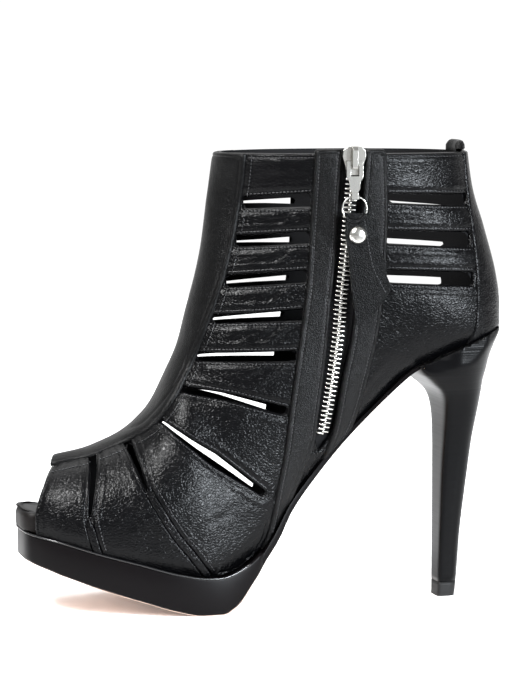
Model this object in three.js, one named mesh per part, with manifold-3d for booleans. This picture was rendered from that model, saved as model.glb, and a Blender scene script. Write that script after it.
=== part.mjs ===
// Right ankle boot: caged leather upper on a last, stacked platform and stiletto heel, side zip.
// Millimetres. The toe points along -X, the inner side with the zip is -Y, up is +Z.

import * as THREE from 'three';
import { mergeVertices } from 'three/addons/utils/BufferGeometryUtils.js';
import Module from 'manifold-3d';

const wasm = await Module();
wasm.setup();

// Driving dimensions
const bootLength = 212;
const ballWidth = 80;
const collarHeight = 196;
const heelHeight = 119;
const heelTurn = 6;
const toeSpring = 20;
const platformThickness = 13.5;
const outsoleThickness = 2.9;
const shankThickness = 1.7;
const groundFlat = 0.4;
const footbedToe = 8.8;
const footbedLip = 0.8;
const footbedHeel = 3;
const leather = 1.8;
const overlay = 1.2;
const gap = 0.3;
const slotGap = 5;
const seamWidth = 3.4;
const facingRise = 2;
const pullTabRise = 4.5;
const pullTabThickness = 2.4;
const topPieceHeight = 6.5;

// Zip and its pull
const tapeThickness = 0.7;
const tapeMargin = 3;
const chainWidth = 5.6;
const rimStep = 8;
const toothPitch = 2;
const toothThickness = 0.7;
const toothOverlap = 1.2;
const beadWidth = 1.1;
const toothProud = 0.2;
const sliderWidth = 10;
const sliderLength = 12;
const sliderPlate = 1.4;
const bridgeWidth = 2.4;
const bridgeThickness = 1.1;
const pullerWidth = 7.1;
const pullerThickness = 1.3;
const pullerLength = 14.8;
const eyeHole = 0.95;
const eyeWall = 0.5;
const ringRadius = 5.35;
const ringWire = 0.45;
const tabThickness = 1.6;
const tabLength = 48;
const studRadius = 3.7;
const studHeight = 2.2;

// Levels worked out from the sizes
const stackHeight = platformThickness + outsoleThickness - groundFlat;
const heelRise = heelHeight - stackHeight;
const farSide = ballWidth;

// Turns shares of the boot's length, collar height and ball width into places
const along = (share) => share * bootLength;
const up = (share) => share * collarHeight;
const across = (share) => share * ballWidth;
const place = ([x, z]) => new THREE.Vector2(along(x), up(z));

// Smooth line through points, or a polyline of them
function smooth(points, count) {
  return new THREE.SplineCurve(points).getPoints(count);
}

// Line beside a polyline, at a distance to its left
function beside(points, distance) {
  return points.map((point, i) => {
    const before = points[Math.max(i - 1, 0)];
    const after = points[Math.min(i + 1, points.length - 1)];
    const way = after.clone().sub(before).normalize();
    return new THREE.Vector2(point.x - way.y * distance, point.y + way.x * distance);
  });
}

// Height of a polyline that runs along x
function heightAt(line, x) {
  const found = line.findIndex((point) => point.x > x);
  const last = found < 0 ? line.length - 1 : Math.max(found, 1);
  const [from, to] = [line[last - 1], line[last]];
  return THREE.MathUtils.mapLinear(x, from.x, to.x, from.y, to.y);
}

// Sole line from the toe to the ball: x, share of the toe spring
const toeLine = [
  [-0.53, 1.1],
  [-0.491, 1.0],
  [-0.46, 0.92],
  [-0.41, 0.8],
  [-0.335, 0.56],
  [-0.255, 0.335],
  [-0.193, 0.145],
  [-0.14, 0.025],
];

// Sole line from the ball to the heel: x, share of the heel's rise
const archLine = [
  [-0.113, 0],
  [-0.088, 0.001],
  [-0.059, 0.02],
  [-0.02, 0.066],
  [0.02, 0.15],
  [0.055, 0.275],
  [0.098, 0.388],
  [0.161, 0.5375],
  [0.233, 0.686],
  [0.311, 0.834],
  [0.355, 0.872],
  [0.41, 0.924],
  [0.495, 1.0],
  [0.55, 1.05],
];

const soleLine = smooth(
  [
    ...toeLine.map(([x, rise]) => new THREE.Vector2(along(x), stackHeight + rise * toeSpring)),
    ...archLine.map(([x, rise]) => new THREE.Vector2(along(x), stackHeight + rise * heelRise)),
  ],
  36,
);

// Platform under the sole line: x, share of the platform's thickness
const platformLine = [
  [-0.53, 0.55],
  [-0.491, 0.62],
  [-0.46, 0.71],
  [-0.41, 0.83],
  [-0.27, 0.95],
  [-0.14, 1],
  [-0.09, 1],
  [-0.06, 0.8],
  [-0.032, 0.42],
  [-0.002, 0.1],
  [0.02, 0],
  [0.1, 0],
  [0.55, 0],
].map(([x, share]) => new THREE.Vector2(x, share));

const platformBottom = soleLine.map(({ x, y }) => {
  const share = heightAt(platformLine, x / bootLength);
  return new THREE.Vector2(x, y - platformThickness * share);
});

// Plan outline of the sole: x, inner half width, outer half width
const outlineRows = [
  [-0.481, 0.27, 0.06],
  [-0.46, 0.345, 0.155],
  [-0.42, 0.41, 0.25],
  [-0.358, 0.455, 0.338],
  [-0.269, 0.487, 0.425],
  [-0.189, 0.5, 0.481],
  [-0.108, 0.48, 0.51],
  [-0.041, 0.425, 0.51],
  [0.028, 0.338, 0.475],
  [0.108, 0.263, 0.412],
  [0.208, 0.244, 0.35],
  [0.311, 0.269, 0.325],
  [0.41, 0.3, 0.319],
  [0.469, 0.263, 0.275],
  [0.5, 0.17, 0.18],
];
const outlineToe = [-0.491, -0.1];
const outlineBack = [0.512, 0];

function planOutline(inset) {
  const plan = ([x, y]) => new THREE.Vector2(along(x), across(y));
  const inner = outlineRows.map(([x, medial]) => plan([x, -medial]));
  const outer = outlineRows.map(([x, , lateral]) => plan([x, lateral])).reverse();
  const corners = [plan(outlineToe), ...inner, plan(outlineBack), ...outer, plan(outlineToe)];
  return beside(smooth(corners, 52).slice(0, -1), inset);
}

// Sections of the upper, fanned from the toe round the instep to the collar. Columns: ridge x and z,
// base x, base height over the sole line, inner and outer half width, middle, share of the height
// where it is widest, and how square it is below and above that.
const sections = [
  [-0.509, 0.276, -0.505, 0, 0.338, 0.138, -0.1, 0.3, 5, 2.3],
  [-0.467, 0.304, -0.462, 0, 0.338, 0.15, -0.1, 0.3, 5, 2.2],
  [-0.425, 0.323, -0.42, 0, 0.4, 0.237, -0.087, 0.3, 5, 2.1],
  [-0.358, 0.342, -0.358, 0, 0.444, 0.325, -0.069, 0.3, 5, 2.1],
  [-0.28, 0.376, -0.283, 0, 0.469, 0.405, -0.05, 0.3, 5, 2.1],
  [-0.237, 0.411, -0.24, 0, 0.477, 0.435, -0.04, 0.3, 4.8, 2.1],
  [-0.206, 0.45, -0.198, 0, 0.481, 0.46, -0.031, 0.3, 4.5, 2.1],
  [-0.177, 0.513, -0.104, 0, 0.463, 0.487, -0.013, 0.3, 4, 2.05],
  [-0.152, 0.575, 0, 0, 0.388, 0.455, 0, 0.34, 3.2, 2],
  [-0.134, 0.651, 0.094, 0, 0.356, 0.41, 0, 0.4, 2.8, 2],
  [-0.116, 0.724, 0.189, 0, 0.35, 0.38, 0, 0.42, 2.6, 2],
  [-0.104, 0.786, 0.283, 0, 0.344, 0.365, 0, 0.42, 2.6, 2],
  [-0.097, 0.842, 0.387, 0, 0.344, 0.362, 0, 0.42, 2.7, 2],
  [-0.092, 0.888, 0.491, 0, 0.35, 0.362, 0, 0.42, 2.7, 2],
  [-0.088, 0.918, 0.506, 0.071, 0.35, 0.362, 0, 0.44, 2.6, 2],
  [-0.084, 0.948, 0.498, 0.16, 0.356, 0.365, 0, 0.47, 2.5, 2.05],
  [-0.08, 0.978, 0.473, 0.275, 0.366, 0.372, 0, 0.49, 2.35, 2.12],
  [-0.076, 1.004, 0.447, 0.385, 0.375, 0.381, 0, 0.5, 2.3, 2.15],
  [-0.07, 1.1, 0.428, 0.56, 0.39, 0.39, 0, 0.5, 2.3, 2.15],
];
const baseDrop = 8;
const halfRing = 13;

// Half of a section's curve from the ridge down one side to the base, at equal steps
function halfSection(width, length, belly, low, high) {
  const fine = 60;
  const curve = [];
  for (let i = 0; i <= fine; i += 1) {
    const angle = (Math.PI * i) / fine;
    const above = Math.cos(angle) >= 0;
    const power = 2 / (above ? high : low);
    const reach = above ? 1 - belly : belly;
    const height = belly + Math.sign(Math.cos(angle)) * reach * Math.abs(Math.cos(angle)) ** power;
    curve.push(new THREE.Vector2(width * Math.abs(Math.sin(angle)) ** power, height * length));
  }
  const lengths = [0];
  for (let i = 1; i <= fine; i += 1) {
    lengths.push(lengths[i - 1] + curve[i].distanceTo(curve[i - 1]));
  }
  const even = [];
  for (let i = 0; i <= halfRing; i += 1) {
    const wanted = (lengths[fine] * i) / halfRing;
    const next = Math.max(1, lengths.findIndex((value) => value >= wanted - 1e-9));
    const t = (wanted - lengths[next - 1]) / (lengths[next] - lengths[next - 1]);
    even.push(curve[next - 1].clone().lerp(curve[next], t));
  }
  return even;
}

// One closed ring of the upper's form, starting at the ridge and going down the inner side
function ring([ridgeX, ridgeZ, baseX, lift, medial, lateral, middle, belly, low, high]) {
  const ridge = new THREE.Vector3(along(ridgeX), 0, up(ridgeZ));
  const baseHeight = heightAt(soleLine, along(baseX)) - baseDrop + up(lift);
  const base = new THREE.Vector3(along(baseX), 0, baseHeight);
  const axis = ridge.clone().sub(base);
  const length = axis.length();
  axis.normalize();
  const centre = across(middle);
  const point = (side, { x: width, y: height }) =>
    base.clone().addScaledVector(axis, height).setY(centre + side * width);
  const half = (width) => halfSection(width, length, belly, low, high);
  const inner = half(across(medial) + centre).map((p) => point(-1, p));
  const outer = half(across(lateral) - centre).map((p) => point(1, p));
  return [...inner, ...outer.slice(1, -1).reverse()];
}

const ringSize = 2 * halfRing;
const rings = sections.map(ring);

// Outward direction of the form at each point of its rings
const outward = rings.map((points, i) =>
  points.map((point, j) => {
    const before = rings[Math.max(i - 1, 0)][j];
    const after = rings[Math.min(i + 1, rings.length - 1)][j];
    const left = points[(j + ringSize - 1) % ringSize];
    const right = points[(j + 1) % ringSize];
    return right.clone().sub(left).cross(after.clone().sub(before)).normalize();
  }),
);

// Joins rings of points into a closed geometry with flat ends
function loft(loops) {
  const size = loops[0].length;
  const positions = loops.flat().flatMap((point) => point.toArray());
  const indices = [];
  for (let i = 0; i < loops.length - 1; i += 1) {
    for (let j = 0; j < size; j += 1) {
      const k = (j + 1) % size;
      const [a, b, c, d] = [i * size + j, i * size + k, (i + 1) * size + j, (i + 1) * size + k];
      indices.push(a, b, c, b, d, c);
    }
  }
  for (const [loop, start, flip] of [
    [loops[0], 0, true],
    [loops[loops.length - 1], (loops.length - 1) * size, false],
  ]) {
    const middle = loop.reduce((sum, point) => sum.add(point), new THREE.Vector3()).divideScalar(size);
    const centre = positions.length / 3;
    positions.push(...middle.toArray());
    for (let j = 0; j < size; j += 1) {
      const edge = [start + j, start + ((j + 1) % size)];
      indices.push(centre, ...(flip ? edge.reverse() : edge));
    }
  }
  const geometry = new THREE.BufferGeometry();
  geometry.setAttribute('position', new THREE.Float32BufferAttribute(positions, 3));
  geometry.setIndex(indices);
  return geometry;
}

// Turns a closed geometry into a solid, and a solid back into a geometry
function solidOf(source) {
  const geometry = source.clone();
  geometry.deleteAttribute('normal');
  geometry.deleteAttribute('uv');
  const merged = mergeVertices(geometry, 1e-5);
  const mesh = new wasm.Mesh({
    numProp: 3,
    vertProperties: new Float32Array(merged.attributes.position.array),
    triVerts: new Uint32Array(merged.index.array),
  });
  return new wasm.Manifold(mesh);
}

function geometryOf(solid) {
  const mesh = solid.getMesh();
  const geometry = new THREE.BufferGeometry();
  geometry.setAttribute('position', new THREE.BufferAttribute(mesh.vertProperties, 3));
  geometry.setIndex(new THREE.BufferAttribute(mesh.triVerts, 1));
  const flat = geometry.toNonIndexed();
  flat.computeVertexNormals();
  return flat;
}

// The upper's form, grown outwards by an offset
function form(offset) {
  const moved = (point, i, j) => point.clone().addScaledVector(outward[i][j], offset);
  return solidOf(loft(rings.map((points, i) => points.map((point, j) => moved(point, i, j)))));
}

function extrude(outline, depth) {
  return new THREE.ExtrudeGeometry(new THREE.Shape(outline), { depth, bevelEnabled: false });
}

// Prism over an outline in the side view, from one side of the boot to the other
function sidePrism(outline, from = -farSide, to = farSide) {
  const geometry = extrude(outline, to - from);
  geometry.rotateX(Math.PI / 2);
  geometry.translate(0, to, 0);
  return solidOf(geometry);
}

const innerSide = (outline) => sidePrism(outline, -farSide, 0);
const outerSide = (outline) => sidePrism(outline, 0, farSide);

// Prism over an outline in plan
function planPrism(outline, from, to) {
  const geometry = extrude(outline, to - from);
  geometry.translate(0, 0, from);
  return solidOf(geometry);
}

const [toeEnd, heelEnd] = [along(-0.6), along(0.6)];
const [underground, overhead] = [-heelHeight, 2 * collarHeight];
const corner = (x, z) => new THREE.Vector2(x, z);
const rect = (x0, x1, z0, z1) => [corner(x0, z0), corner(x1, z0), corner(x1, z1), corner(x0, z1)];
const box = (x0, x1, y0, y1, z0, z1) => sidePrism(rect(x0, x1, z0, z1), y0, y1);

// Everything below a line that runs from the toe to the heel
function below(line) {
  const [first, last] = [line[0], line[line.length - 1]];
  const ends = [corner(heelEnd, last.y), corner(heelEnd, underground), corner(toeEnd, underground)];
  return sidePrism([...line, ...ends, corner(toeEnd, first.y)]);
}

// Everything above a level
function above(level) {
  return sidePrism(rect(toeEnd, heelEnd, level, overhead));
}

const underUpper = below(beside(soleLine, gap));

// Top of the footbed: thick and cushioned under the forefoot, thin behind
const footbedThickness = [
  [-0.6, footbedToe],
  [-0.08, footbedToe],
  [0.08, footbedHeel],
  [0.6, footbedHeel],
].map(([x, thickness]) => corner(along(x), thickness));
const footbedTop = soleLine.map((point, i) => beside(soleLine, heightAt(footbedThickness, point.x))[i]);

// Edges of the pieces in the side view
const bandEdge = smooth(
  [
    [-0.026, 1.05],
    [-0.036, 0.898],
    [-0.068, 0.735],
    [-0.126, 0.565],
    [-0.158, 0.493],
    [-0.206, 0.421],
    [-0.252, 0.382],
    [-0.343, 0.345],
    [-0.428, 0.322],
    [-0.53, 0.29],
  ].map(place),
  18,
);
const frontFacingFront = smooth(
  [
    [0.103, 1.05],
    [0.096, 0.852],
    [0.089, 0.72],
    [0.069, 0.568],
    [0.053, 0.453],
    [0.042, 0.357],
    [0.026, 0.264],
    [0.012, 0.181],
    [-0.01, 0.12],
    [-0.05, 0.06],
  ].map(place),
  14,
);
const frontFacingRear = smooth(
  [
    [0.161, 1.05],
    [0.152, 0.916],
    [0.148, 0.783],
    [0.136, 0.665],
    [0.126, 0.554],
    [0.111, 0.427],
    [0.104, 0.364],
    [0.084, 0.309],
    [0.06, 0.239],
    [0.03, 0.16],
  ].map(place),
  14,
);
const rearFacingFront = smooth(
  [
    [0.206, 1.05],
    [0.202, 0.97],
    [0.193, 0.811],
    [0.18, 0.614],
    [0.162, 0.51],
    [0.147, 0.405],
    [0.135, 0.357],
    [0.112, 0.28],
  ].map(place),
  12,
);
const rearFacingRear = smooth(
  [
    [0.245, 1.05],
    [0.251, 0.887],
    [0.25, 0.798],
    [0.246, 0.712],
    [0.235, 0.613],
    [0.219, 0.53],
    [0.198, 0.432],
    [0.179, 0.372],
    [0.15, 0.28],
  ].map(place),
  12,
);
const backStripEdge = smooth(
  [
    [0.42, 1.05],
    [0.429, 0.893],
    [0.441, 0.739],
    [0.44, 0.629],
    [0.427, 0.583],
    [0.38, 0.51],
  ].map(place),
  10,
);
const peepEdge = smooth(
  [
    [-0.4, 0.375],
    [-0.431, 0.323],
    [-0.45, 0.285],
    [-0.463, 0.24],
    [-0.465, 0.2],
    [-0.461, 0.1],
  ].map(place),
  8,
);
const zipLine = smooth(
  [
    [0.1795, 1.0],
    [0.175, 0.909],
    [0.168, 0.789],
    [0.159, 0.698],
    [0.152, 0.606],
    [0.141, 0.511],
    [0.126, 0.406],
    [0.1215, 0.385],
  ].map(place),
  14,
);

// Open slots between the straps, on the inner side: front end x and z, rear end x and z, opening at the
// front, the middle and the rear as shares of the slot's gap, and the bow of its middle
const innerSlots = [
  [-0.036, 0.891, 0.095, 0.898, 0.95, 1.1, 1.2, 0],
  [-0.05, 0.808, 0.095, 0.817, 0.9, 0.95, 1.0, 0],
  [-0.072, 0.721, 0.089, 0.733, 0.95, 1.0, 1.0, 0],
  [-0.1, 0.639, 0.08, 0.649, 0.65, 0.75, 0.95, 0],
  [-0.132, 0.557, 0.066, 0.559, 0.65, 0.75, 0.85, 0],
  [-0.167, 0.489, 0.046, 0.438, 0.45, 0.6, 0.65, 0.005],
  [-0.207, 0.42, 0.001, 0.258, 0.2, 0.95, 0.4, 0],
  [-0.272, 0.372, -0.262, 0.338, 0.5, 0.35, 0.15, 0],
  [-0.34, 0.352, -0.347, 0.32, 0.55, 0.4, 0.15, 0],
  [0.252, 0.902, 0.429, 0.895, 0.75, 0.85, 0.95, 0],
  [0.25, 0.817, 0.434, 0.808, 1.1, 1.2, 1.3, 0],
  [0.252, 0.731, 0.437, 0.721, 1.05, 1.1, 1.15, 0],
];

// The same on the outer side, where the straps sit lower and closer
const outerSlots = [
  [-0.036, 0.884, 0.104, 0.8825, 0.15, 0.3, 0.55, 0],
  [-0.05, 0.797, 0.097, 0.797, 0.12, 0.25, 0.48, 0],
  [-0.072, 0.704, 0.093, 0.711, 0.2, 0.3, 0.45, 0],
  [-0.1, 0.622, 0.086, 0.628, 0.2, 0.3, 0.45, 0],
  [-0.132, 0.54, 0.077, 0.538, 0.2, 0.3, 0.45, 0],
  [-0.165, 0.481, 0.067, 0.408, 0.1, 0.2, 0.45, 0.003],
  [-0.205, 0.413, 0.027, 0.231, 0.12, 0.6, 0.3, 0.002],
  [-0.272, 0.372, -0.262, 0.338, 0.5, 0.35, 0.15, 0],
  [-0.34, 0.352, -0.347, 0.32, 0.55, 0.4, 0.15, 0],
  [0.262, 0.882, 0.421, 0.873, 0.25, 0.15, 0.15, 0],
  [0.262, 0.792, 0.421, 0.7845, 0.5, 0.46, 0.42, 0],
  [0.262, 0.706, 0.418, 0.698, 0.6, 0.68, 0.75, 0],
];

function slotOutline([frontX, frontZ, rearX, rearZ, front, middle, rear, bow]) {
  const [from, to] = [place([frontX, frontZ]), place([rearX, rearZ])];
  const centre = from.clone().lerp(to, 0.5).add(corner(0, along(bow)));
  const line = [from, centre, to];
  const half = [front, middle, rear].map((share) => (share * slotGap) / 2);
  const top = line.map((_, i) => beside(line, half[i])[i]);
  const bottom = line.map((_, i) => beside(line, -half[i])[i]);
  return [...bottom, ...top.reverse()];
}

// Upper: hollow shell, cut open at the sole, collar, peep toe, slots and zip
const inside = form(-leather);
const peepTurn = THREE.MathUtils.degToRad(-8);

function peepCut(shift) {
  const edge = peepEdge.map((p) => corner(p.x - shift, p.y));
  const outline = [...edge, corner(toeEnd, 0), corner(toeEnd, up(0.375))];
  const hingeX = along(-0.46);
  const hingeY = across(-0.35);
  return sidePrism(outline)
    .translate([-hingeX, -hingeY, 0])
    .rotate([0, 0, THREE.MathUtils.radToDeg(peepTurn)])
    .translate([hingeX, hingeY, 0]);
}

const zipEnd = up(0.375);
const zipBottom = place([0.1185, 0.345]);
const channelFront = frontFacingRear.filter((point) => point.y > zipEnd);
const channelRear = rearFacingFront.filter((point) => point.y > zipEnd);
const zipChannel = innerSide([...channelFront, zipBottom, ...channelRear.slice().reverse()]);
const shell = form(0).subtract(inside);
const openings = [underUpper, above(collarHeight), peepCut(0), zipChannel];
const slotPrisms = [
  ...innerSlots.map((row) => innerSide(slotOutline(row))),
  ...outerSlots.map((row) => outerSide(slotOutline(row))),
];
const upper = [...openings, ...slotPrisms].reduce((solid, cut) => solid.subtract(cut), shell);

// Overlays lie on the upper, a gap outside it
const skin = form(gap + overlay).subtract(form(gap)).subtract(underUpper);

const bandCorners = [corner(toeEnd, up(0.29)), corner(toeEnd, overhead), corner(bandEdge[0].x, overhead)];
const bandRegion = sidePrism([...bandEdge, ...bandCorners]);
const frontBand = skin.intersect(bandRegion).subtract(above(collarHeight)).subtract(peepCut(0));

const facingTop = above(collarHeight + facingRise);
const between = (front, rear) => [...front, ...rear.slice().reverse()];
const frontFacingOutline = between(frontFacingFront, frontFacingRear);
const rearFacingOutline = between(rearFacingFront, rearFacingRear);
const frontFacing = skin.intersect(innerSide(frontFacingOutline)).subtract(facingTop);
const rearFacing = skin.intersect(innerSide(rearFacingOutline)).subtract(facingTop);
const sideBandFront = frontFacingFront.filter((point) => point.y > up(0.1));
const sideBand = skin
  .intersect(outerSide(between(sideBandFront, rearFacingRear)))
  .subtract(above(collarHeight));
const backStripOutline = [...backStripEdge, corner(heelEnd, up(0.45)), corner(heelEnd, overhead)];
const backStrip = skin.intersect(sidePrism(backStripOutline)).subtract(above(collarHeight));

// Raised seams between the vamp panels
const seamLines = [
  [
    [-0.264, 0.335],
    [-0.258, 0.32],
    [-0.238, 0.273],
    [-0.206, 0.212],
    [-0.181, 0.171],
    [-0.15, 0.13],
    [-0.12, 0.085],
  ],
  [
    [-0.346, 0.317],
    [-0.351, 0.296],
    [-0.358, 0.246],
    [-0.357, 0.203],
    [-0.342, 0.142],
    [-0.33, 0.11],
  ],
].map((rows) => smooth(rows.map(place), 10));

function seam(line, sideOf) {
  const outline = [...beside(line, seamWidth / 2), ...beside(line, -seamWidth / 2).reverse()];
  return skin.intersect(sideOf(outline)).subtract(bandRegion);
}

// Tab inside the back of the collar
const pullTabOutline = [
  [0.405, 0.92],
  [0.47, 0.92],
  [0.47, 1.1],
  [0.405, 1.1],
];
const pullTab = form(-leather - gap)
  .subtract(form(-leather - gap - pullTabThickness))
  .intersect(sidePrism(pullTabOutline.map(place)))
  .subtract(above(collarHeight + pullTabRise));

// Zip tape behind the channel, and two rows of teeth on it
const tapeEnd = corner(zipBottom.x, zipBottom.y - tapeMargin);
const tapeFront = beside(channelFront, -tapeMargin);
const tapeRear = beside(channelRear, tapeMargin);
const tapeOutline = between([...tapeFront, tapeEnd], tapeRear);
const tape = form(-leather - gap)
  .subtract(form(-leather - gap - tapeThickness))
  .intersect(innerSide(tapeOutline))
  .subtract(above(collarHeight))
  .subtract(below(beside(footbedTop, gap)));

// Zip teeth: two rows that lie on the tape along the zip's line
const toothSkin = form(toothProud).subtract(form(-leather));
const zipCurve = new THREE.SplineCurve(zipLine);
const sliderAt = place([0.179, 0.985]);
const teethTop = sliderAt.y - sliderLength / 2 - gap;

// One row of teeth: a bead along the tape's edge, with a tooth at each pitch
function toothRow(side, phase) {
  const length = zipCurve.getLength();
  const from = zipLine[0].y - teethTop;
  const edge = (s, offset) => {
    const way = zipCurve.getTangentAt(s / length);
    const point = zipCurve.getPointAt(s / length);
    return corner(point.x - way.y * offset * side, point.y + way.x * offset * side);
  };
  const rim = chainWidth / 2;
  const bead = rim - beadWidth;
  const reach = -toothOverlap / 2;
  const count = Math.floor((length - from) / toothPitch);
  const inner = [];
  const outer = [];
  for (let i = 0; i < count; i += 1) {
    const s = from + i * toothPitch + phase;
    const end = s + toothThickness;
    inner.push(edge(s, bead), edge(s, reach), edge(end, reach), edge(end, bead));
    if (i % rimStep === 0 || i === count - 1) {
      outer.push(edge(i === 0 ? s : end, rim));
    }
  }
  return toothSkin.intersect(innerSide([...inner, ...outer.reverse()]));
}

// The zip's pull is laid out flat: x along the boot, y into it, z up, from the slider's middle
const surface = new THREE.Mesh(loft(rings), new THREE.MeshBasicMaterial({ side: THREE.DoubleSide }));
const fromInnerSide = new THREE.Vector3(sliderAt.x, -farSide, sliderAt.y);
const ray = new THREE.Raycaster(fromInnerSide, new THREE.Vector3(0, 1, 0));
const [sliderHit] = ray.intersectObject(surface);
const shieldBack = -(gap + overlay + gap);
const shieldFront = shieldBack - sliderPlate;
const pullerBack = shieldFront - gap;
const pullerMiddle = pullerBack - pullerThickness / 2;
const barZ = -0.6;
const eyeZ = pullerThickness / 2 - pullerLength;
const ringZ = eyeZ - ringRadius;

// Slider: tapered shield over a narrower body in the channel, with a bridge for the puller
function sliderSolid() {
  const [half, low] = [sliderWidth / 2, sliderLength / 2];
  const shieldRows = [
    [-0.62, -1],
    [0.62, -1],
    [0.74, -0.4],
    [1, 0.35],
    [0.94, 0.8],
    [0.6, 1],
    [-0.6, 1],
    [-0.94, 0.8],
    [-1, 0.35],
    [-0.74, -0.4],
  ];
  const shieldOutline = shieldRows.map(([x, z]) => corner(x * half, z * low));
  const shield = sidePrism(shieldOutline, shieldFront, shieldBack);
  const bodyHalf = half * 0.62;
  const body = box(-bodyHalf, bodyHalf, shieldBack - sliderPlate / 2, leather - gap, -low, low * 0.9);
  const room = pullerBack - pullerThickness - gap;
  const crown = room - bridgeThickness;
  const [top, bottom] = [low * 1.07, -low * 0.55];
  const root = shieldFront + sliderPlate / 2;
  const round = bridgeThickness * 0.75;
  const arch = [
    [root, top],
    [crown + round, top],
    [crown, top - 2 * round],
    [crown, bottom + round],
    [crown + round, bottom],
    [root, bottom],
    [root, bottom + bridgeThickness],
    [room, bottom + bridgeThickness],
    [room, top - 2.7 * round],
    [root, top - 2 * round],
  ].map(([y, z]) => new THREE.Vector2(y, z));
  const bridge = extrude(arch, bridgeWidth);
  bridge.translate(0, 0, -bridgeWidth / 2);
  bridge.rotateX(Math.PI / 2);
  bridge.rotateZ(Math.PI / 2);
  return shield.add(body).add(solidOf(bridge));
}

// Wire ring in the pull's plane, as a torus of any thickness
function torus(wire) {
  const geometry = new THREE.TorusGeometry(ringRadius, wire, 6, 20);
  geometry.rotateX(Math.PI / 2);
  geometry.translate(0, 0, ringZ);
  return solidOf(geometry);
}

// Puller: frame round the bridge, tapered plate and an eye that holds the ring
function pullerSolid() {
  const half = pullerWidth / 2;
  const slotHalf = bridgeWidth / 2 + 2 * gap;
  const barHalf = pullerThickness / 2;
  const [top, bottom] = [barHalf, eyeZ - eyeHole - eyeWall];
  const frameLow = -pullerLength * 0.39;
  const eyeHalf = half * 0.42;
  const side = [
    [1, -0.43],
    [0.68, -0.54],
    [0.62, -0.75],
    [0.42, -0.82],
  ];
  const edge = (sign) => side.map(([x, z]) => corner(sign * x * half, z * pullerLength));
  const plan = [
    corner(-half, top),
    ...edge(-1),
    corner(-eyeHalf, bottom),
    corner(eyeHalf, bottom),
    ...edge(1).reverse(),
    corner(half, top),
  ];
  const eyeDepth = eyeHole + eyeWall;
  const plate = sidePrism(plan, -barHalf, barHalf);
  const eye = box(-eyeHalf, eyeHalf, -eyeDepth, eyeDepth, bottom, eyeZ + eyeHole + eyeWall);
  const window = sidePrism(rect(-slotHalf, slotHalf, frameLow, -barHalf));
  const bore = new THREE.CylinderGeometry(eyeHole, eyeHole, 2 * pullerWidth, 12);
  bore.rotateZ(Math.PI / 2);
  bore.translate(0, 0, eyeZ);
  return plate.subtract(window).add(eye).subtract(solidOf(bore));
}

// Leather tab on the ring: its outline in shares of its length, down from its top
const tabOutline = [
  [-0.08, 0],
  [0.115, 0],
  [0.125, -0.12],
  [0.28, -0.44],
  [0.29, -0.56],
  [0.34, -0.67],
  [0.17, -0.9],
  [0.05, -1.0],
  [0.015, -0.99],
  [-0.03, -0.64],
  [-0.055, -0.36],
  [-0.085, -0.19],
];

function tabSolid() {
  const top = ringZ + ringRadius * 0.62 - ringRadius;
  const outline = tabOutline.map(([x, z]) => corner(x * tabLength, top + z * tabLength));
  const plate = sidePrism(outline, -tabThickness / 2, tabThickness / 2);
  const fold = torus(ringWire + gap + tabThickness / 2).intersect(sidePrism(outline));
  return plate.add(fold).subtract(torus(ringWire + gap));
}

// Domed stud on the tab
function studSolid() {
  const face = -tabThickness / 2 - gap;
  const rim = studHeight * 0.25;
  const profile = [corner(0, 0), corner(studRadius, 0), corner(studRadius, rim)];
  for (let i = 1; i <= 4; i += 1) {
    const angle = (Math.PI / 2) * (i / 4);
    const radius = i === 4 ? 0 : studRadius * 0.94 * Math.cos(angle);
    profile.push(corner(radius, rim + (studHeight - rim) * Math.sin(angle)));
  }
  const geometry = new THREE.LatheGeometry(profile, 20);
  geometry.rotateX(Math.PI);
  geometry.translate(0.025 * tabLength, face, ringZ - ringRadius * 0.38 - 0.19 * tabLength);
  return solidOf(geometry);
}

// Footbed: covered insole inside the upper, with its full edge at the peep toe
function footbedSolid() {
  const slab = sidePrism([...beside(soleLine, gap), ...footbedTop.slice().reverse()]);
  const insideFit = form(-leather - gap).subtract(peepCut(-gap));
  const nose = planPrism(planOutline(-footbedLip), 0, collarHeight).intersect(peepCut(gap));
  const join = sidePrism(rect(along(-0.49), along(-0.43), 0, collarHeight)).intersect(form(-leather - gap));
  return slab.intersect(insideFit.add(nose).add(join));
}

// Platform, outsole and heel
function platformSolid() {
  const end = soleLine.findIndex((point) => point.x > along(-0.004));
  const top = soleLine.slice(0, end);
  const bottom = beside(platformBottom, gap).slice(0, end);
  return sidePrism([...bottom, ...top.reverse()]).intersect(planPrism(planOutline(0), 0, heelHeight));
}

const heelBreast = along(0.309);

function outsoleSolid() {
  const top = platformBottom;
  const thickness = [
    [-0.6, outsoleThickness],
    [0.02, outsoleThickness],
    [0.25, shankThickness],
    [0.6, shankThickness],
  ].map(([x, value]) => corner(along(x), value));
  const bottom = platformBottom.map((point, i) => beside(platformBottom, -heightAt(thickness, point.x))[i]);
  const ground = sidePrism(rect(toeEnd, heelBreast - gap, 0, overhead));
  return sidePrism([...bottom, ...top.slice().reverse()])
    .intersect(planPrism(planOutline(0.7), 0, heelHeight))
    .intersect(ground);
}

// Heel sections: height as a share of the heel's, breast x, back x, half width
const heelRows = [
  [0, 0.379, 0.4205, 0.07],
  [0.055, 0.38, 0.4245, 0.073],
  [0.252, 0.3815, 0.4325, 0.086],
  [0.462, 0.383, 0.447, 0.105],
  [0.588, 0.3845, 0.456, 0.126],
  [0.689, 0.384, 0.466, 0.158],
  [0.756, 0.375, 0.4712, 0.2],
  [0.807, 0.345, 0.4745, 0.25],
  [0.849, 0.318, 0.4802, 0.29],
  [0.908, 0.31, 0.4873, 0.33],
  [0.992, 0.31, 0.5061, 0.36],
  [1.06, 0.31, 0.52, 0.36],
];

const heelRingSize = 20;

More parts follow.
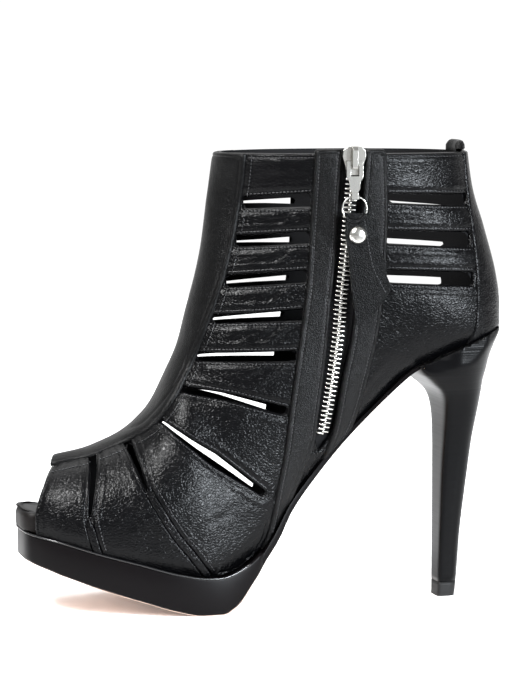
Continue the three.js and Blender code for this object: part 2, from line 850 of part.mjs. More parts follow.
function heelRing([level, breast, back, halfWidth]) {
  const length = along(back - breast);
  const middle = along(breast) + length * 0.42;
  const points = [];
  for (let i = 0; i < heelRingSize; i += 1) {
    const angle = (2 * Math.PI * i) / heelRingSize;
    const [c, s] = [Math.cos(angle), Math.sin(angle)];
    const power = 2 / (c < 0 ? 7 : 2.3);
    const reach = c < 0 ? length * 0.42 : length * 0.58;
    const x = middle + Math.sign(c) * reach * Math.abs(c) ** power;
    const y = Math.sign(s) * across(halfWidth) * Math.abs(s) ** power;
    points.push(new THREE.Vector3(x, y, level * heelHeight));
  }
  return points;
}

const heelAxis = along(0.4);
const heelForm = solidOf(loft(heelRows.map(heelRing)))
  .translate([-heelAxis, 0, 0])
  .rotate([0, 0, heelTurn])
  .translate([heelAxis, 0, 0]);
const heelTop = sidePrism([...soleLine, corner(heelEnd, overhead), corner(toeEnd, overhead)]);
const heel = heelForm
  .subtract(heelTop)
  .intersect(planPrism(planOutline(0.6), topPieceHeight, heelHeight * 1.2));
const topPiece = heelForm.intersect(box(toeEnd, heelEnd, -farSide, farSide, 0, topPieceHeight - gap));

// Materials
function finish(color, roughness, metalness = 0) {
  return new THREE.MeshStandardMaterial({ color, roughness, metalness });
}

const blackLeather = () => finish('#17171a', 0.45);
const stackedBlack = () => finish('#141214', 0.35);
const nickel = () => finish('#c9c8c4', 0.25, 1);

const boot = new THREE.Group();

function add(name, solid, material, parent = boot) {
  const mesh = new THREE.Mesh(geometryOf(solid), material);
  mesh.name = name;
  parent.add(mesh);
}

add('upper', upper, blackLeather());
add('front_band', frontBand, blackLeather());
add('zip_facing_front', frontFacing, blackLeather());
add('zip_facing_rear', rearFacing, blackLeather());
add('side_band_lateral', sideBand, blackLeather());
add('back_strip', backStrip, blackLeather());
seamLines.forEach((line, i) => {
  add(`vamp_seam_medial_${i + 1}`, seam(line, innerSide), blackLeather());
  add(`vamp_seam_lateral_${i + 1}`, seam(line, outerSide), blackLeather());
});
add('heel_pull_tab', pullTab, finish('#3a3a3e', 0.6));
add('zip_tape', tape, finish('#101012', 0.9));
add('zip_teeth_front', toothRow(1, 0), nickel());
add('zip_teeth_rear', toothRow(-1, toothPitch / 2), nickel());
add('footbed', footbedSolid(), finish('#2a2a2c', 0.5));
add('platform', platformSolid(), stackedBlack());
add('outsole', outsoleSolid(), finish('#8a6a4c', 0.6));
add('heel', heel, stackedBlack());
add('heel_top_piece', topPiece, finish('#0e0e0f', 0.6));

// The pull stands on the inner side's surface at the slider
const pullFrame = new THREE.Group();
const out = sliderHit.face.normal.clone();
const upwards = new THREE.Vector3(0, 0, 1).addScaledVector(out, -out.z).normalize();
const rightwards = upwards.clone().cross(out);
pullFrame.applyMatrix4(new THREE.Matrix4().makeBasis(rightwards, out.clone().negate(), upwards));
pullFrame.position.copy(sliderHit.point);
boot.add(pullFrame);
add('zip_slider', sliderSolid(), nickel(), pullFrame);

// What hangs from the slider's bridge hangs straight down
const hangFrame = new THREE.Group();
hangFrame.position.set(0, pullerMiddle, barZ);
hangFrame.rotation.x = Math.asin(out.z);
pullFrame.add(hangFrame);
add('zip_puller', pullerSolid(), nickel(), hangFrame);
add('pull_ring', torus(ringWire), nickel(), hangFrame);
add('pull_leather_tab', tabSolid(), blackLeather(), hangFrame);
add('pull_stud', studSolid(), nickel(), hangFrame);

// The origin is on the floor, under the middle of the boot
const bounds = new THREE.Box3().setFromObject(boot);
const centre = bounds.getCenter(new THREE.Vector3());
boot.position.set(-centre.x, -centre.y, -bounds.min.z);

export default boot;
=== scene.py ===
"""Right ankle boot: leather looks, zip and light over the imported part.

The boot's own sizes are in millimetres, with the toe along -X, the inner side -Y and up +Z.
Shares of the boot's length, collar height and ball width become places with along, up and across.
"""

import math

import bpy
import numpy as np
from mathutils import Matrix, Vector
from mathutils.bvhtree import BVHTree


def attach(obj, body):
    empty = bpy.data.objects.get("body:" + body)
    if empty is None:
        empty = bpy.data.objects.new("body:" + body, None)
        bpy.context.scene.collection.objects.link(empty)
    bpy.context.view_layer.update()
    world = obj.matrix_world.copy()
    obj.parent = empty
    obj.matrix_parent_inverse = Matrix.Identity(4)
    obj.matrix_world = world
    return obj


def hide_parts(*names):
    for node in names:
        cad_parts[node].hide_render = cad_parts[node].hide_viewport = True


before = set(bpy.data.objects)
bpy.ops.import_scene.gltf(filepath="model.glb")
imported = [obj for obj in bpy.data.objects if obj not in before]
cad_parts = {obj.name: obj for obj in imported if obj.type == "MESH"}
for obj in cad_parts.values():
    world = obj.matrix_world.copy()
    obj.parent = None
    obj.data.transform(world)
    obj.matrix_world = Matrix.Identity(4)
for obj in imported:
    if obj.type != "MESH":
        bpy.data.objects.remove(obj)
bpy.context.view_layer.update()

# Camera

image_height = 678
focal_pixels = 3240
camera_distance = 1.4087
camera_azimuth = -9
camera_elevation = 5.5
camera_target = Vector((-0.0019, -0.0006, 0.1145))


def make_camera():
    azimuth, elevation = math.radians(camera_azimuth), math.radians(camera_elevation)
    back = Vector((
        math.sin(azimuth) * math.cos(elevation),
        -math.cos(azimuth) * math.cos(elevation),
        math.sin(elevation),
    ))
    data = bpy.data.cameras.new("camera")
    data.sensor_width = 36
    data.lens = data.sensor_width * focal_pixels / image_height
    data.clip_start, data.clip_end = 0.05, 20
    camera = bpy.data.objects.new("camera", data)
    camera.location = camera_target + back * camera_distance
    camera.rotation_mode = "QUATERNION"
    camera.rotation_quaternion = (-back).to_track_quat("-Z", "Y")
    bpy.context.scene.collection.objects.link(camera)
    bpy.context.scene.camera = camera


make_camera()

# Sizes of the boot

boot_length = 212
ball_width = 80
collar_height = 196
heel_height = 119
heel_turn = 6
toe_spring = 20
platform_thickness = 13.5
outsole_thickness = 2.9
shank_thickness = 1.7
ground_flat = 0.4
footbed_toe = 8.8
footbed_heel = 3
leather = 1.8
overlay = 1.5
slot_gap = 5
facing_rise = 2
top_piece_height = 6.5
shift = np.array([-1.942, -0.585, 0.0])

stack_height = platform_thickness + outsole_thickness - ground_flat
heel_rise = heel_height - stack_height


def along(share):
    return np.asarray(share) * boot_length


def up(share):
    return np.asarray(share) * collar_height


def across(share):
    return np.asarray(share) * ball_width


def places(rows):
    """Shares of the side view as points in millimetres."""
    table = np.asarray(rows, float)
    return np.column_stack([along(table[:, 0]), up(table[:, 1])])


def spline(points, count):
    """A smooth line through points, as count + 1 points."""
    table = np.asarray(points, float)
    last = len(table) - 1
    t = np.linspace(0, last, count + 1)
    k = np.minimum(t.astype(int), last - 1)
    w = (t - k)[:, None]
    before, start = table[np.maximum(k - 1, 0)], table[k]
    end, after = table[k + 1], table[np.minimum(k + 2, last)]
    leave, arrive = (end - before) / 2, (after - start) / 2
    cubic = 2 * start - 2 * end + leave + arrive
    square = -3 * start + 3 * end - 2 * leave - arrive
    return cubic * w**3 + square * w**2 + leave * w + start


def drawn(rows, count):
    """A smooth line of the side view through shares."""
    return spline(places(rows), count)


def beside(line, distance):
    """The line beside a line in the side view, at a distance to its left."""
    way = np.gradient(line, axis=0)
    way /= np.linalg.norm(way, axis=1)[:, None] + 1e-12
    return line + distance * np.column_stack([-way[:, 1], way[:, 0]])


def height_at(line, x):
    return np.interp(x, line[:, 0], line[:, 1])


# Sole line: x, share of the toe spring in front of the ball, and of the heel's rise behind it

toe_line = [
    [-0.53, 1.1], [-0.491, 1.0], [-0.46, 0.92], [-0.41, 0.8],
    [-0.335, 0.56], [-0.255, 0.335], [-0.193, 0.145], [-0.14, 0.025],
]
arch_line = [
    [-0.113, 0], [-0.088, 0.001], [-0.059, 0.02], [-0.02, 0.066], [0.02, 0.15],
    [0.055, 0.275], [0.098, 0.388], [0.161, 0.5375], [0.233, 0.686], [0.311, 0.834],
    [0.355, 0.872], [0.41, 0.924], [0.495, 1.0], [0.55, 1.05],
]
sole_line = spline(
    [[along(x), stack_height + rise * toe_spring] for x, rise in toe_line]
    + [[along(x), stack_height + rise * heel_rise] for x, rise in arch_line],
    210,
)
platform_line = np.array([
    [-0.53, 0.55], [-0.491, 0.62], [-0.46, 0.71], [-0.41, 0.83], [-0.27, 0.95], [-0.14, 1],
    [-0.09, 1], [-0.06, 0.8], [-0.032, 0.42], [-0.002, 0.1], [0.02, 0], [0.1, 0], [0.55, 0],
])
platform_bottom = np.column_stack([
    sole_line[:, 0],
    sole_line[:, 1] - platform_thickness * height_at(platform_line, sole_line[:, 0] / boot_length),
])

# Plan outline of the sole: x, inner half width, outer half width

outline_rows = [
    [-0.481, 0.27, 0.06], [-0.46, 0.345, 0.155], [-0.42, 0.41, 0.25], [-0.358, 0.455, 0.338],
    [-0.269, 0.487, 0.425], [-0.189, 0.5, 0.481], [-0.108, 0.48, 0.51], [-0.041, 0.425, 0.51],
    [0.028, 0.338, 0.475], [0.108, 0.263, 0.412], [0.208, 0.244, 0.35], [0.311, 0.269, 0.325],
    [0.41, 0.3, 0.319], [0.469, 0.263, 0.275], [0.5, 0.17, 0.18],
]
outline_toe = [-0.491, -0.1]
outline_back = [0.512, 0]


def plan_outline(inset, count=224):
    """The sole's outline in plan, moved in by an inset."""
    inner = [[x, -medial] for x, medial, _ in outline_rows]
    outer = [[x, lateral] for x, _, lateral in reversed(outline_rows)]
    rows = np.array([outline_toe, *inner, outline_back, *outer, outline_toe])
    line = spline(np.column_stack([along(rows[:, 0]), across(rows[:, 1])]), count)
    way = np.roll(line[:-1], -1, axis=0) - np.roll(line[:-1], 1, axis=0)
    way /= np.linalg.norm(way, axis=1)[:, None]
    return line[:-1] + inset * np.column_stack([-way[:, 1], way[:, 0]])


# Sections of the upper: ridge x and z, base x, base height over the sole line, inner and outer half
# width, middle, share of the height where it is widest, how square it is below and above that

sections = np.array([
    [-0.509, 0.276, -0.505, 0, 0.338, 0.138, -0.1, 0.3, 5, 2.3],
    [-0.467, 0.304, -0.462, 0, 0.338, 0.15, -0.1, 0.3, 5, 2.2],
    [-0.425, 0.323, -0.42, 0, 0.4, 0.237, -0.087, 0.3, 5, 2.1],
    [-0.358, 0.342, -0.358, 0, 0.444, 0.325, -0.069, 0.3, 5, 2.1],
    [-0.28, 0.376, -0.283, 0, 0.469, 0.405, -0.05, 0.3, 5, 2.1],
    [-0.237, 0.411, -0.24, 0, 0.477, 0.435, -0.04, 0.3, 4.8, 2.1],
    [-0.206, 0.45, -0.198, 0, 0.481, 0.46, -0.031, 0.3, 4.5, 2.1],
    [-0.177, 0.513, -0.104, 0, 0.463, 0.487, -0.013, 0.3, 4, 2.05],
    [-0.152, 0.575, 0, 0, 0.388, 0.455, 0, 0.34, 3.2, 2],
    [-0.134, 0.651, 0.094, 0, 0.356, 0.41, 0, 0.4, 2.8, 2],
    [-0.116, 0.724, 0.189, 0, 0.35, 0.38, 0, 0.42, 2.6, 2],
    [-0.104, 0.786, 0.283, 0, 0.344, 0.365, 0, 0.42, 2.6, 2],
    [-0.097, 0.842, 0.387, 0, 0.344, 0.362, 0, 0.42, 2.7, 2],
    [-0.092, 0.888, 0.491, 0, 0.35, 0.362, 0, 0.42, 2.7, 2],
    [-0.088, 0.918, 0.506, 0.071, 0.35, 0.362, 0, 0.44, 2.6, 2],
    [-0.084, 0.948, 0.498, 0.16, 0.356, 0.365, 0, 0.47, 2.5, 2.05],
    [-0.08, 0.978, 0.473, 0.275, 0.366, 0.372, 0, 0.49, 2.35, 2.12],
    [-0.076, 1.004, 0.447, 0.385, 0.375, 0.381, 0, 0.5, 2.3, 2.15],
    [-0.07, 1.1, 0.428, 0.56, 0.39, 0.39, 0, 0.5, 2.3, 2.15],
])
base_drop = 8


def half_section(width, length, belly, low, high, shares):
    """Half of a section's curve, from the ridge down to the base, at even shares of its length."""
    angle = np.linspace(0, math.pi, 241)
    power = np.where(np.cos(angle) >= 0, 2 / high, 2 / low)
    reach = np.where(np.cos(angle) >= 0, 1 - belly, belly)
    height = belly + np.sign(np.cos(angle)) * reach * np.abs(np.cos(angle)) ** power
    curve = np.column_stack([width * np.abs(np.sin(angle)) ** power, height * length])
    steps = np.linalg.norm(np.diff(curve, axis=0), axis=1)
    distance = np.concatenate([[0], np.cumsum(steps)])
    wanted = shares * distance[-1]
    return np.column_stack([np.interp(wanted, distance, curve[:, k]) for k in (0, 1)])


def ring(row, columns):
    """One closed ring of the form, from the ridge down the inner side and up the outer side."""
    ridge_x, ridge_z, base_x, lift, medial, lateral, middle, belly, low, high = row
    base_height = height_at(sole_line, along(base_x)) - base_drop + up(lift)
    base = np.array([along(base_x), 0, base_height])
    axis = np.array([along(ridge_x), 0, up(ridge_z)]) - base
    length = np.linalg.norm(axis)
    centre = across(middle)
    shares = np.linspace(0, 1, columns + 1)
    sides = []
    for side, width in ((-1, across(medial) + centre), (1, across(lateral) - centre)):
        half = half_section(width, length, belly, low, high, shares)
        points = base + half[:, 1:] * axis / length
        points[:, 1] = centre + side * half[:, 0]
        sides.append(points)
    return np.vstack([sides[0], sides[1][1:-1][::-1]])


def make_form(steps, columns):
    """The whole form as rings of points, with its outward directions."""
    count = (len(sections) - 1) * steps
    rows = spline(sections, count)
    points = np.array([ring(row, columns) for row in rows])
    round_way = np.roll(points, -1, axis=1) - np.roll(points, 1, axis=1)
    long_way = np.gradient(points, axis=0)
    outward = np.cross(round_way, long_way)
    outward /= np.linalg.norm(outward, axis=2)[:, :, None] + 1e-12
    return points, outward


# Edges of the pieces in the side view

band_edge = drawn([
    [-0.026, 1.05], [-0.036, 0.898], [-0.068, 0.735], [-0.126, 0.565], [-0.158, 0.493],
    [-0.206, 0.421], [-0.252, 0.382], [-0.343, 0.341], [-0.428, 0.319], [-0.53, 0.287],
], 60)
front_facing_front = drawn([
    [0.103, 1.05], [0.096, 0.852], [0.089, 0.72], [0.069, 0.568], [0.053, 0.453],
    [0.042, 0.357], [0.026, 0.264], [0.012, 0.181], [-0.01, 0.12], [-0.05, 0.06],
], 60)
front_facing_rear = drawn([
    [0.161, 1.05], [0.152, 0.916], [0.148, 0.783], [0.136, 0.665], [0.126, 0.554],
    [0.111, 0.427], [0.104, 0.364], [0.084, 0.309], [0.06, 0.239], [0.03, 0.16],
], 60)
rear_facing_front = drawn([
    [0.206, 1.05], [0.202, 0.97], [0.193, 0.811], [0.18, 0.614], [0.162, 0.51],
    [0.147, 0.405], [0.135, 0.357], [0.112, 0.28],
], 60)
rear_facing_rear = drawn([
    [0.245, 1.05], [0.251, 0.887], [0.25, 0.798], [0.246, 0.712], [0.235, 0.613],
    [0.219, 0.53], [0.198, 0.432], [0.179, 0.372], [0.15, 0.28],
], 60)
back_strip_edge = drawn([
    [0.42, 1.05], [0.429, 0.893], [0.441, 0.739], [0.44, 0.629], [0.427, 0.583], [0.38, 0.51],
], 40)
peep_edge = drawn([
    [-0.4, 0.375], [-0.431, 0.323], [-0.45, 0.285], [-0.463, 0.24], [-0.465, 0.2], [-0.461, 0.1],
], 30)
zip_line = drawn([
    [0.1795, 1.0], [0.175, 0.909], [0.168, 0.789], [0.159, 0.698], [0.152, 0.606],
    [0.141, 0.511], [0.126, 0.406], [0.1215, 0.385],
], 60)
seam_lines = [
    drawn([
        [-0.264, 0.335], [-0.258, 0.32], [-0.238, 0.273], [-0.206, 0.212], [-0.181, 0.171],
        [-0.15, 0.13], [-0.12, 0.085],
    ], 40),
    drawn([
        [-0.346, 0.317], [-0.351, 0.296], [-0.358, 0.246], [-0.357, 0.203], [-0.342, 0.142],
        [-0.33, 0.11],
    ], 40),
]

# Lines stitched or folded into the upper's own leather, on both sides and on the inner side

panel_lines = [drawn(rows, 24) for rows in (
    [[0.436, 0.909], [0.449, 0.854], [0.462, 0.779], [0.465, 0.737], [0.459, 0.683], [0.45, 0.653]],
    [[0.004, 0.193], [-0.001, 0.162], [-0.015, 0.135], [-0.034, 0.113], [-0.057, 0.096], [-0.096, 0.09]],
)]
zip_side_lines = [drawn(rows, 24) for rows in (
    [[0.1, 0.362], [0.081, 0.323], [0.072, 0.275], [0.06, 0.238], [0.048, 0.22]],
    [[0.1, 0.345], [0.114, 0.3475], [0.129, 0.349]],
    [[0.122, 0.316], [0.092, 0.281], [0.059, 0.229], [0.037, 0.194], [0.016, 0.161]],
)]

# Creases in the leather: middle x and z, lean from level in degrees, half length and width in
# millimetres, and depth

creases = [
    [0.052, 0.865, 35, 7, 1.3, 0.5], [0.076, 0.862, 40, 6, 1.2, 0.45], [0.03, 0.858, 30, 6, 1.4, 0.35],
    [0.035, 0.775, 35, 8, 1.4, 0.5], [0.062, 0.772, 42, 6, 1.2, 0.5], [0.005, 0.768, 28, 7, 1.5, 0.35],
    [0.02, 0.69, 32, 8, 1.4, 0.5], [0.05, 0.688, 40, 7, 1.3, 0.5], [-0.02, 0.682, 25, 8, 1.6, 0.35],
    [0.005, 0.604, 30, 9, 1.4, 0.5], [0.04, 0.603, 36, 7, 1.3, 0.5], [-0.05, 0.596, 22, 8, 1.6, 0.35],
    [-0.01, 0.52, 28, 8, 1.5, 0.4], [0.025, 0.512, 34, 7, 1.3, 0.4], [-0.02, 0.4, 12, 9, 1.6, 0.3],
    [0.0, 0.345, -20, 8, 1.5, 0.3], [-0.14, 0.27, 40, 9, 1.8, 0.3], [-0.1, 0.21, 25, 8, 1.6, 0.3],
    [-0.25, 0.225, 30, 7, 1.5, 0.25], [0.2, 0.5, 55, 9, 1.6, 0.35], [0.235, 0.5, 50, 8, 1.4, 0.35],
    [0.17, 0.43, 60, 8, 1.4, 0.3], [0.3, 0.85, 4, 10, 1.8, 0.25], [0.37, 0.77, -5, 9, 1.6, 0.25],
    [0.31, 0.955, 3, 12, 2.0, 0.25], [0.39, 0.94, -6, 9, 1.8, 0.25], [0.03, 0.95, 8, 9, 1.8, 0.25],
]

# Height at which the two panel edges of each vamp seam meet: above it the seam is an open gap

seam_crossings = [up(0.285), up(0.224)]
zip_end = up(0.375)
zip_bottom = places([[0.1185, 0.345]])
channel_front = front_facing_rear[front_facing_rear[:, 1] > zip_end]
channel_rear = rear_facing_front[rear_facing_front[:, 1] > zip_end]
toe_end, heel_end = along(-0.6), along(0.6)
overhead = 2 * collar_height

# Slots between the straps: front end x and z, rear end x and z, opening in front, in the middle and
# at the rear as shares of the slot's gap, and the bow of its middle

inner_slots = [
    [-0.036, 0.891, 0.095, 0.898, 0.95, 1.1, 1.2, 0],
    [-0.05, 0.808, 0.095, 0.817, 0.9, 0.95, 1.0, 0],
    [-0.072, 0.721, 0.089, 0.733, 0.95, 1.0, 1.0, 0],
    [-0.1, 0.639, 0.08, 0.649, 0.65, 0.75, 0.95, 0],
    [-0.132, 0.557, 0.066, 0.559, 0.65, 0.75, 0.85, 0],
    [-0.167, 0.489, 0.046, 0.438, 0.45, 0.6, 0.65, 0.005],
    [-0.207, 0.42, 0.001, 0.258, 0.2, 0.95, 0.4, 0],
    [-0.272, 0.372, -0.2425, 0.276, 0.5, 0.35, 0.15, 0],
    [-0.34, 0.352, -0.357, 0.222, 0.55, 0.4, 0.15, 0],
    [0.252, 0.902, 0.429, 0.895, 0.75, 0.85, 0.95, 0],
    [0.25, 0.817, 0.434, 0.808, 1.1, 1.2, 1.3, 0],
    [0.252, 0.731, 0.437, 0.721, 1.05, 1.1, 1.15, 0],
]
outer_slots = [
    [-0.036, 0.884, 0.104, 0.8825, 0.15, 0.3, 0.55, 0],
    [-0.05, 0.797, 0.097, 0.797, 0.12, 0.25, 0.48, 0],
    [-0.072, 0.704, 0.093, 0.711, 0.2, 0.3, 0.45, 0],
    [-0.1, 0.622, 0.086, 0.628, 0.2, 0.3, 0.45, 0],
    [-0.132, 0.54, 0.077, 0.538, 0.2, 0.3, 0.45, 0],
    [-0.165, 0.481, 0.067, 0.408, 0.1, 0.2, 0.45, 0.003],
    [-0.205, 0.413, 0.027, 0.231, 0.12, 0.6, 0.3, 0.002],
    [-0.272, 0.372, -0.2425, 0.276, 0.5, 0.35, 0.15, 0],
    [-0.34, 0.352, -0.357, 0.222, 0.55, 0.4, 0.15, 0],
    [0.262, 0.882, 0.421, 0.873, 0.25, 0.15, 0.15, 0],
    [0.262, 0.792, 0.421, 0.7845, 0.5, 0.46, 0.42, 0],
    [0.262, 0.706, 0.418, 0.698, 0.6, 0.68, 0.75, 0],
]


def slot_outline(row):
    """A slot's outline: its lower edge from front to rear, then its upper edge back."""
    front_x, front_z, rear_x, rear_z, front, middle, rear, bow = row
    ends = places([[front_x, front_z], [rear_x, rear_z]])
    centre = ends.mean(axis=0) + [0, along(bow)]
    line = np.array([ends[0], centre, ends[1]])
    half = np.array([front, middle, rear])[:, None] * slot_gap / 2
    step = beside(line, 1) - line
    return np.vstack([line - step * half, (line + step * half)[::-1]])


# Distances in the side view, positive inside an outline


def nearest(starts, ends, px, pz):
    """Distance to the nearest of some straight pieces of line."""
    best = np.full(px.shape, 1e9)
    for (ax, az), (bx, bz) in zip(starts, ends):
        ex, ez = bx - ax, bz - az
        t = np.clip(((px - ax) * ex + (pz - az) * ez) / (ex * ex + ez * ez + 1e-12), 0, 1)
        best = np.minimum(best, (px - ax - t * ex) ** 2 + (pz - az - t * ez) ** 2)
    return np.sqrt(best)


def distance_in(outline, x, z):
    """Distance to a closed outline, below zero outside it."""
    px, pz = np.ravel(x), np.ravel(z)
    ends = np.roll(outline, -1, axis=0)
    within = np.zeros(px.shape, bool)
    for (ax, az), (bx, bz) in zip(outline, ends):
        reach = ax + (pz - az) * (bx - ax) / ((bz - az) or 1e-12)
        within ^= ((az > pz) != (bz > pz)) & (px < reach)
    return (np.where(within, 1, -1) * nearest(outline, ends, px, pz)).reshape(np.shape(x))


def to_line(line, x, z):
    """Distance to an open line."""
    return nearest(line[:-1], line[1:], np.ravel(x), np.ravel(z)).reshape(np.shape(x))


peep_turn = math.radians(-8)
peep_hinge = np.array([along(-0.46), across(-0.35)])
peep_outline = np.vstack([peep_edge, [[toe_end, 0], [toe_end, up(0.375)]]])
zip_outline = np.vstack([channel_front, zip_bottom, channel_rear[::-1]])
band_outline = np.vstack([
    band_edge,
    [[toe_end, up(0.29)], [toe_end, overhead], [band_edge[0, 0], overhead]],
])
back_outline = np.vstack([back_strip_edge, [[heel_end, up(0.45)], [heel_end, overhead]]])


def from_peep(p):
    """Distance behind the toe opening, which is turned a little in plan."""
    x = peep_hinge[0] + (p[..., 0] - peep_hinge[0]) * math.cos(peep_turn) + (
        p[..., 1] - peep_hinge[1]
    ) * math.sin(peep_turn)
    return -distance_in(peep_outline, x, p[..., 2])


def from_slots(p, table):
    x, z = p[..., 0], p[..., 2]
    return np.min([-distance_in(slot_outline(row), x, z) for row in table], axis=0)


def from_sole(p):
    return p[..., 2] - height_at(sole_line, p[..., 0])


def smooth_step(start, end, value):
    t = np.clip((np.asarray(value) - start) / (np.asarray(end) - start), 0, 1)
    return t * t * (3 - 2 * t)


# Meshes

skins = {-1: [], 1: []}


def keep_skin(side, points, faces):
    """Keeps a surface, so that stitches can be laid on it."""
    for one in (side,) if side else (-1, 1):
        skins[one].append((np.asarray(points), np.asarray(faces)))


def make_object(name, points, faces, material, body="boot"):
    """An object from points in millimetres in the boot's own place, riding on a body."""
    mesh = bpy.data.meshes.new(name)
    mesh.from_pydata(((np.asarray(points) + shift) / 1000).tolist(), [], np.asarray(faces).tolist())
    mesh.polygons.foreach_set("use_smooth", [True] * len(mesh.polygons))
    mesh.materials.append(material)
    mesh.validate()
    obj = bpy.data.objects.new(name, mesh)
    bpy.context.scene.collection.objects.link(obj)
    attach(obj, body)
    return obj


def grid_faces(rows, columns, closed):
    """Triangles of a grid of points, closed round its columns or not."""
    i, j = np.meshgrid(np.arange(rows - 1), np.arange(columns if closed else columns - 1), indexing="ij")
    k = (j + 1) % columns
    a, b = i * columns + j, i * columns + k
    c, d = (i + 1) * columns + j, (i + 1) * columns + k
    return np.concatenate([
        np.stack([a, b, c], axis=-1).reshape(-1, 3),
        np.stack([b, d, c], axis=-1).reshape(-1, 3),
    ])


def split_at(level, values, data, faces, where=None):
    """Splits triangles where values cross a level, so that an edge runs along it."""
    side = values[faces] > level
    if where is not None:
        side = np.where(where[faces].any(axis=1)[:, None], side, True)
    count = side.sum(axis=1)
    mixed = faces[(count == 1) | (count == 2)]
    flags = side[(count == 1) | (count == 2)]
    kept = faces[(count == 0) | (count == 3)]
    if not len(mixed):
        return values, data, faces
    odd = np.where(flags.sum(axis=1) == 1, flags.argmax(axis=1), (~flags).argmax(axis=1))
    turn = (odd[:, None] + np.arange(3)) % 3
    apex, right, left = np.take_along_axis(mixed, turn, axis=1).T
    pairs = np.sort(np.concatenate([
        np.stack([apex, right], axis=1),
        np.stack([apex, left], axis=1),
    ]), axis=1)
    edges, spot = np.unique(pairs, axis=0, return_inverse=True)
    spot = spot.ravel()
    va, vb = values[edges[:, 0]], values[edges[:, 1]]
    t = ((level - va) / (vb - va))[:, None]
    fresh = data[edges[:, 0]] * (1 - t) + data[edges[:, 1]] * t
    first = len(values)
    on_right = first + spot[: len(apex)]
    on_left = first + spot[len(apex):]
    faces = np.concatenate([
        kept,
        np.stack([apex, on_right, on_left], axis=1),
        np.stack([on_right, right, left], axis=1),
        np.stack([on_right, left, on_left], axis=1),
    ])
    return np.concatenate([values, np.full(len(edges), level)]), np.vstack([data, fresh]), faces


def slot_middles(row):
    """The two straight halves of a slot's centre line."""
    outline = slot_outline(row)
    line = (outline[:3] + outline[:2:-1]) / 2
    return ((line[0], line[1]), (line[1], line[2]))


def cut_sheet(points, outward, field, levels, closed, slots=(), lines=()):
    """The part of a grid where the field is above zero, with edges along each level.

    Edges also run along the middle of each slot, so that a narrow slot is never missed, and
    beside each line at its own distances.
    """
    data = np.concatenate([points, outward], axis=2).reshape(-1, 6)
    faces = grid_faces(points.shape[0], points.shape[1], closed)
    for row in slots:
        for start, end in slot_middles(row):
            way = (end - start) / np.linalg.norm(end - start)
            away = (data[:, 0] - start[0]) * -way[1] + (data[:, 2] - start[1]) * way[0]
            ahead = (data[:, 0] - start[0]) * way[0] + (data[:, 2] - start[1]) * way[1]
            reach = np.linalg.norm(end - start)
            close = (np.abs(away) < 4) & (ahead > -2) & (ahead < reach + 2)
            _, data, faces = split_at(0, away, data, faces, close)
    values = field(data[:, :3])
    near = (values[faces] > -3).any(axis=1)
    faces = faces[near]
    for level in levels:
        values, data, faces = split_at(level, values, data, faces)
    faces = faces[(values[faces] >= -1e-9).all(axis=1)]
    data = np.column_stack([data, values])
    for line, distances in lines:
        away = to_line(line, data[:, 0], data[:, 2])
        for distance in distances:
            away, data, faces = split_at(distance, away, data, faces, away < distances[-1] + 2)
    values = data[:, 6]
    used, index = np.unique(faces, return_inverse=True)
    return data[used, :3], data[used, 3:6], values[used], index.reshape(-1, 3)


half_columns = 148
form_points, form_outward = make_form(13, half_columns)


def half(grid, side):
    """One side of the form's grid: -1 inner, 1 outer, each from the ridge or base to the other."""
    if side < 0:
        return grid[:, : half_columns + 1]
    return np.concatenate([grid[:, half_columns:], grid[:, :1]], axis=1)


def rounded(distance, radius, low, high):
    """Height over a rounded edge: low on the edge, high from the radius on."""
    t = np.clip(distance / radius, 0, 1)
    return low + (high - low) * np.sqrt(1 - (1 - t) ** 2)


# Materials


def new_material(name):
    material = bpy.data.materials.new(name)
    material.use_nodes = True
    tree = material.node_tree
    return material, tree, tree.nodes["Principled BSDF"]


def add_node(tree, kind, **inputs):
    node = tree.nodes.new(kind)
    for key, value in inputs.items():
        if key in node.inputs:
            node.inputs[key].default_value = value
        else:
            setattr(node, key, value)
    return node


def set_shader(shader, color, roughness, metallic=0.0, specular=0.5):
    shader.inputs["Base Color"].default_value = (*color, 1)
    shader.inputs["Roughness"].default_value = roughness
    shader.inputs["Metallic"].default_value = metallic
    shader.inputs["Specular IOR Level"].default_value = specular


def smooth_range(tree, value, low, high, first=0.0, last=1.0):
    """A soft step of a value between two limits."""
    node = add_node(tree, "ShaderNodeMapRange", interpolation_type="SMOOTHSTEP")
    for key, number in (("From Min", low), ("From Max", high), ("To Min", first), ("To Max", last)):
        node.inputs[key].default_value = number
    tree.links.new(value, node.inputs["Value"])
    return node.outputs["Result"]


def noise(tree, vector, scale, detail):
    node = add_node(tree, "ShaderNodeTexNoise", Scale=scale, Detail=detail)
    tree.links.new(vector, node.inputs["Vector"])
    return node


def bump(tree, height, depth, normal=None):
    node = add_node(tree, "ShaderNodeBump", Strength=1.0, Distance=depth)
    tree.links.new(height, node.inputs["Height"])
    if normal is not None:
        tree.links.new(normal, node.inputs["Normal"])
    return node.outputs["Normal"]


def part_of(tree, vector, axis):
    node = add_node(tree, "ShaderNodeSeparateXYZ")
    tree.links.new(vector, node.inputs["Vector"])
    return node.outputs[axis]


def mixed(tree, share, first, last):
    """A colour between two colours."""
    node = add_node(tree, "ShaderNodeMixRGB")
    node.inputs["Color1"].default_value = (*first, 1)
    node.inputs["Color2"].default_value = (*last, 1)
    tree.links.new(share, node.inputs["Fac"])
    return node.outputs["Color"]


